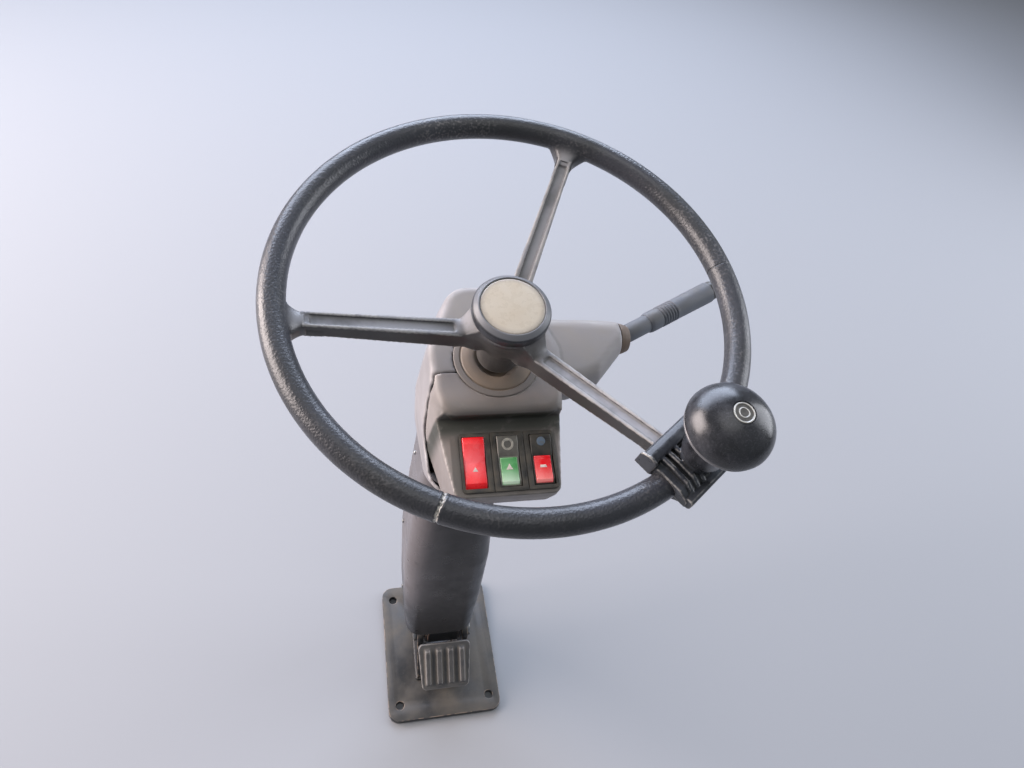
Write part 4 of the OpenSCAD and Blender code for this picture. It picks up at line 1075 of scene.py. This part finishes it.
# Clamp screws: how far out from the rim's middle and to either side, and where their line starts
CLAMP_SCREW_OUT, CLAMP_SCREW_SIDE, BELOW = 13, 18, -40
# Screw: radius and height of its head, its socket's half width and floor, and its steps round
HEAD_R, HEAD_RISE, SOCKET_HALF, SOCKET_FLOOR, SCREW_STEPS = 2.7, 1.5, 1.25, 0.3, 24
# Feet that are welded to the floor plate, as x0, x1, y0 and y1: ears, spring lugs, pedal lever
WELDED_FEET = ((-34, -26, -42, 42), (26, 34, -42, 42), (-12.5, -7.5, 50, 74), (7.5, 12.5, 50, 74),
               (-14, 14, -50, -30))
RIPPLE_PITCH, RIPPLE_OUT, RIPPLE_HEIGHT = 1.5, 0.7, 8.7


def instance_tree(name):
    """Geometry nodes that set one piece on every point: turned to the point's aim, and twisted
    round it by its own random angle, up to Twist radians."""
    tree = bpy.data.node_groups.new(name, "GeometryNodeTree")
    tree.interface.new_socket("Geometry", in_out="OUTPUT", socket_type="NodeSocketGeometry")
    for label, kind in (("Places", "NodeSocketGeometry"), ("Item", "NodeSocketObject"),
                        ("Size", "NodeSocketFloat"), ("Twist", "NodeSocketFloat"),
                        ("Seed", "NodeSocketInt"), ("Finish", "NodeSocketMaterial")):
        tree.interface.new_socket(label, in_out="INPUT", socket_type=kind)
    given = node(tree, "NodeGroupInput").outputs
    shape = node(tree, "GeometryNodeObjectInfo", {"Object": given["Item"]})
    aimed = node(tree, "GeometryNodeInputNamedAttribute", {"Name": "aim"}, data_type="FLOAT_VECTOR")
    turned_to = node(tree, "FunctionNodeAlignRotationToVector", {"Vector": aimed.outputs[0]},
                     axis="Z")
    twist = node(tree, "FunctionNodeRandomValue",
                 {2: 0.0, 3: given["Twist"], "Seed": given["Seed"]}, data_type="FLOAT")
    spun = node(tree, "FunctionNodeAxisAngleToRotation",
                {"Axis": (0, 0, 1), "Angle": twist.outputs[1]})
    both = node(tree, "FunctionNodeRotateRotation", {0: turned_to.outputs[0], 1: spun.outputs[0]},
                rotation_space="LOCAL")
    put = node(tree, "GeometryNodeInstanceOnPoints",
               {"Points": given["Places"], "Instance": shape.outputs["Geometry"],
                "Rotation": both.outputs[0], "Scale": given["Size"]})
    real = node(tree, "GeometryNodeRealizeInstances", {"Geometry": put.outputs["Instances"]})
    coated = node(tree, "GeometryNodeSetMaterial",
                  {"Geometry": real.outputs[0], "Material": given["Finish"]})
    node(tree, "NodeGroupOutput", {0: coated.outputs[0]})
    return tree


def repeated(name, tree, spots, **inputs):
    """A plain mesh of the tree's piece on each spot, a place and the way to look from it."""
    mesh = bpy.data.meshes.new(name)
    mesh.from_pydata([tuple(place) for place, _ in spots], [], [])
    mesh.attributes.new("aim", "FLOAT_VECTOR", "POINT").data.foreach_set(
        "vector", np.array([tuple(aim) for _, aim in spots], "f").ravel())
    piece = add_piece(name, mesh)
    modifier = piece.modifiers.new("repeat", "NODES")
    modifier.node_group = tree
    for item in tree.interface.items_tree:
        if item.in_out == "INPUT" and item.name in inputs:
            modifier[item.identifier] = inputs[item.name]
    baked(piece)
    return piece


def socket_screw():
    """Button-head screw with a six-sided socket, head up, from its seat."""
    dome = [(HEAD_R * math.cos(t) ** 0.6, HEAD_RISE * math.sin(t)) for t in np.linspace(0, 1.05, 6)]
    points = []
    for radius, height in [(2.6, -1.0), (2.6, 0)] + dome + [(1.45, 1.45)]:
        points += ring(radius, height, SCREW_STEPS)
    for height in (1.4, SOCKET_FLOOR):
        for x, y, z in ring(1.0, height, SCREW_STEPS):
            sixth = math.atan2(y, x) % (math.pi / 3) - math.pi / 6
            flat = SOCKET_HALF * math.cos(math.pi / 6) / math.cos(sixth)
            points.append((flat * x, flat * y, z))
    rows = len(points) // SCREW_STEPS
    faces = band(rows, SCREW_STEPS) + lids(rows, SCREW_STEPS)
    return add_piece("screw.pattern", to_mesh("screw.pattern", points, faces))


def build_welds(tree):
    """Weld beads round what stands on the floor plate: overlapping ripples, each set on a point of
    the foot's outline and looking out of the corner."""
    ripple = [(2.5 * math.cos(t), 1.5 * math.sin(t)) for t in np.linspace(-0.6, 1.3, 5)]
    ripple = [(0, -1.1)] + ripple + [(0, 1.5)]
    bead = add_piece("bead.pattern", turned("bead.pattern", ripple, Matrix(), 12))
    spots = []
    for x0, x1, y0, y1 in WELDED_FEET:
        corners = [Vector((x0, y0)), Vector((x1, y0)), Vector((x1, y1)), Vector((x0, y1))]
        for k, start in enumerate(corners):
            run = corners[(k + 1) % 4] - start
            out = Vector((run.y, -run.x)).normalized()
            count = max(1, round(run.length / RIPPLE_PITCH))
            for step in range(count):
                spot = start + run * (step + 0.5) / count
                sway = 0.35 * noise_at(spot.x * 0.4, spot.y * 0.4, 1.24)
                spot += out * (RIPPLE_OUT + sway)
                place = Vector((spot.x, spot.y, RIPPLE_HEIGHT + sway)) * MM
                spots.append((place, (out.x, out.y, 1)))
    piece = repeated("base_welds", tree, spots, Item=bead, Size=1.0, Twist=6.0, Seed=2,
                     Finish=floor_paint)
    dress(piece, floor_paint, "base", slot="floor_steel")
    bpy.data.objects.remove(bead)


def build_repeats():
    """Screws of the covers and of the knob's clamp, then the weld beads."""
    screw, tree = socket_screw(), instance_tree("piece on points")
    lower, rear, clamp = [bpy.data.objects[solid + ".dressed"]
                          for solid in ("lower_cover", "rear_shell", "clamp_lower")]
    spots = [surface_spot(cover, (side * BESIDE, forward, height), (-side, 0, 0))
             for side in (-1, 1) for cover, places in ((lower, COVER_SCREWS), (rear, SHELL_SCREWS))
             for forward, height in places]
    piece = repeated("cover_screws", tree, spots, Item=screw, Size=1.0, Twist=6.0, Seed=4,
                     Finish=steel)
    dress(piece, steel, "column", slot="pin_steel")
    place = SHAFT @ Matrix.Rotation(math.radians(CLAMP_TURN), 4, "Z")
    spots = [surface_spot(clamp, place @ (Vector((RIM_MID + CLAMP_SCREW_OUT, across, BELOW)) * MM),
                          place.col[2].to_3d()) for across in (-CLAMP_SCREW_SIDE, CLAMP_SCREW_SIDE)]
    piece = repeated("clamp_screws", tree, spots, Item=screw, Size=0.8, Twist=6.0, Seed=9,
                     Finish=steel)
    dress(piece, steel, "wheel", slot="pin_steel")
    bpy.data.objects.remove(screw)
    build_welds(tree)


build_rim()
build_spider()
build_hub_cap()
build_knob()
build_head()
build_switches()
build_stalk()
build_base()
build_repeats()


# Stage, light and camera

FLOOR_REACH, FLOOR_DROP = 12.0, 0.0005
# Area lights: name, place, where it looks, width and height, watts and tint
LAMPS = (("window_left", (-2.6, 0.7, 1.45), (0, 0, 0.6), (2.2, 2.0), 160, "#fff1ed"),
         ("sky_front", (-0.1, 2.9, 2.45), (0, 0, 0.6), (4.4, 2.1), 200, "#dbe7ff"),
         ("window_right", (2.6, 0.3, 1.5), (0, 0, 0.6), (1.5, 2.2), 42, "#f3f6ff"),
         ("roof", (0.0, -0.6, 3.6), (0, 0, 0.5), (2.0, 2.0), 16, "#ffffff"))
# Camera, fitted to the rim's outline in the photograph: its place from the wheel's middle, its own
# axes, and its lens
CAMERA_SPOT = (-0.118, -0.384, 0.325)
CAMERA_RIGHT = (0.97499, -0.17366, 0.13868)
CAMERA_UP = (0.03393, 0.73301, 0.67937)
CAMERA_BACK = (-0.21964, -0.65768, 0.72057)
SENSOR, FOCAL = 36.0, 24.75


def plain_stage():
    """Matt floor, a pale world and the daylight of a cab as large soft lights."""
    mesh = bpy.data.meshes.new("studio_floor")
    corners = (-1, -1), (1, -1), (1, 1), (-1, 1)
    mesh.from_pydata([(x * FLOOR_REACH, y * FLOOR_REACH, -FLOOR_DROP) for x, y in corners], [],
                     [(0, 1, 2, 3)])
    ground = add_piece("studio_floor", mesh)
    mesh.materials.append(studio_paper())
    world = bpy.data.worlds.new("studio")
    bpy.context.scene.world = world
    world.use_nodes = True
    backdrop = world.node_tree.nodes["Background"]
    backdrop.inputs["Color"].default_value = colour("#dfe6ee")
    backdrop.inputs["Strength"].default_value = 0.3
    for name, place, aim, size, power, tint in LAMPS:
        lamp = bpy.data.lights.new(name, "AREA")
        lamp.shape, lamp.size, lamp.size_y = "RECTANGLE", size[0], size[1]
        lamp.energy, lamp.color = power, colour(tint)[:3]
        light = bpy.data.objects.new(name, lamp)
        light.location = place
        light.rotation_euler = (Vector(aim) - Vector(place)).to_track_quat("-Z", "Y").to_euler()
        bpy.context.scene.collection.objects.link(light)


def photograph_camera():
    """The camera at the photograph's viewing angle."""
    lens = bpy.data.cameras.new("photograph")
    lens.sensor_width, lens.lens = SENSOR, FOCAL
    lens.clip_start, lens.clip_end = 0.01, 100.0
    camera = bpy.data.objects.new("photograph", lens)
    turned_to = Matrix((CAMERA_RIGHT, CAMERA_UP, CAMERA_BACK)).transposed().to_4x4()
    middle = Vector(turn["pos_m"]) + Vector(CAMERA_SPOT)
    camera.matrix_world = Matrix.Translation(middle) @ turned_to
    bpy.context.scene.collection.objects.link(camera)
    bpy.context.scene.camera = camera


plain_stage()
photograph_camera()
bpy.context.scene.view_settings.view_transform = "Standard"
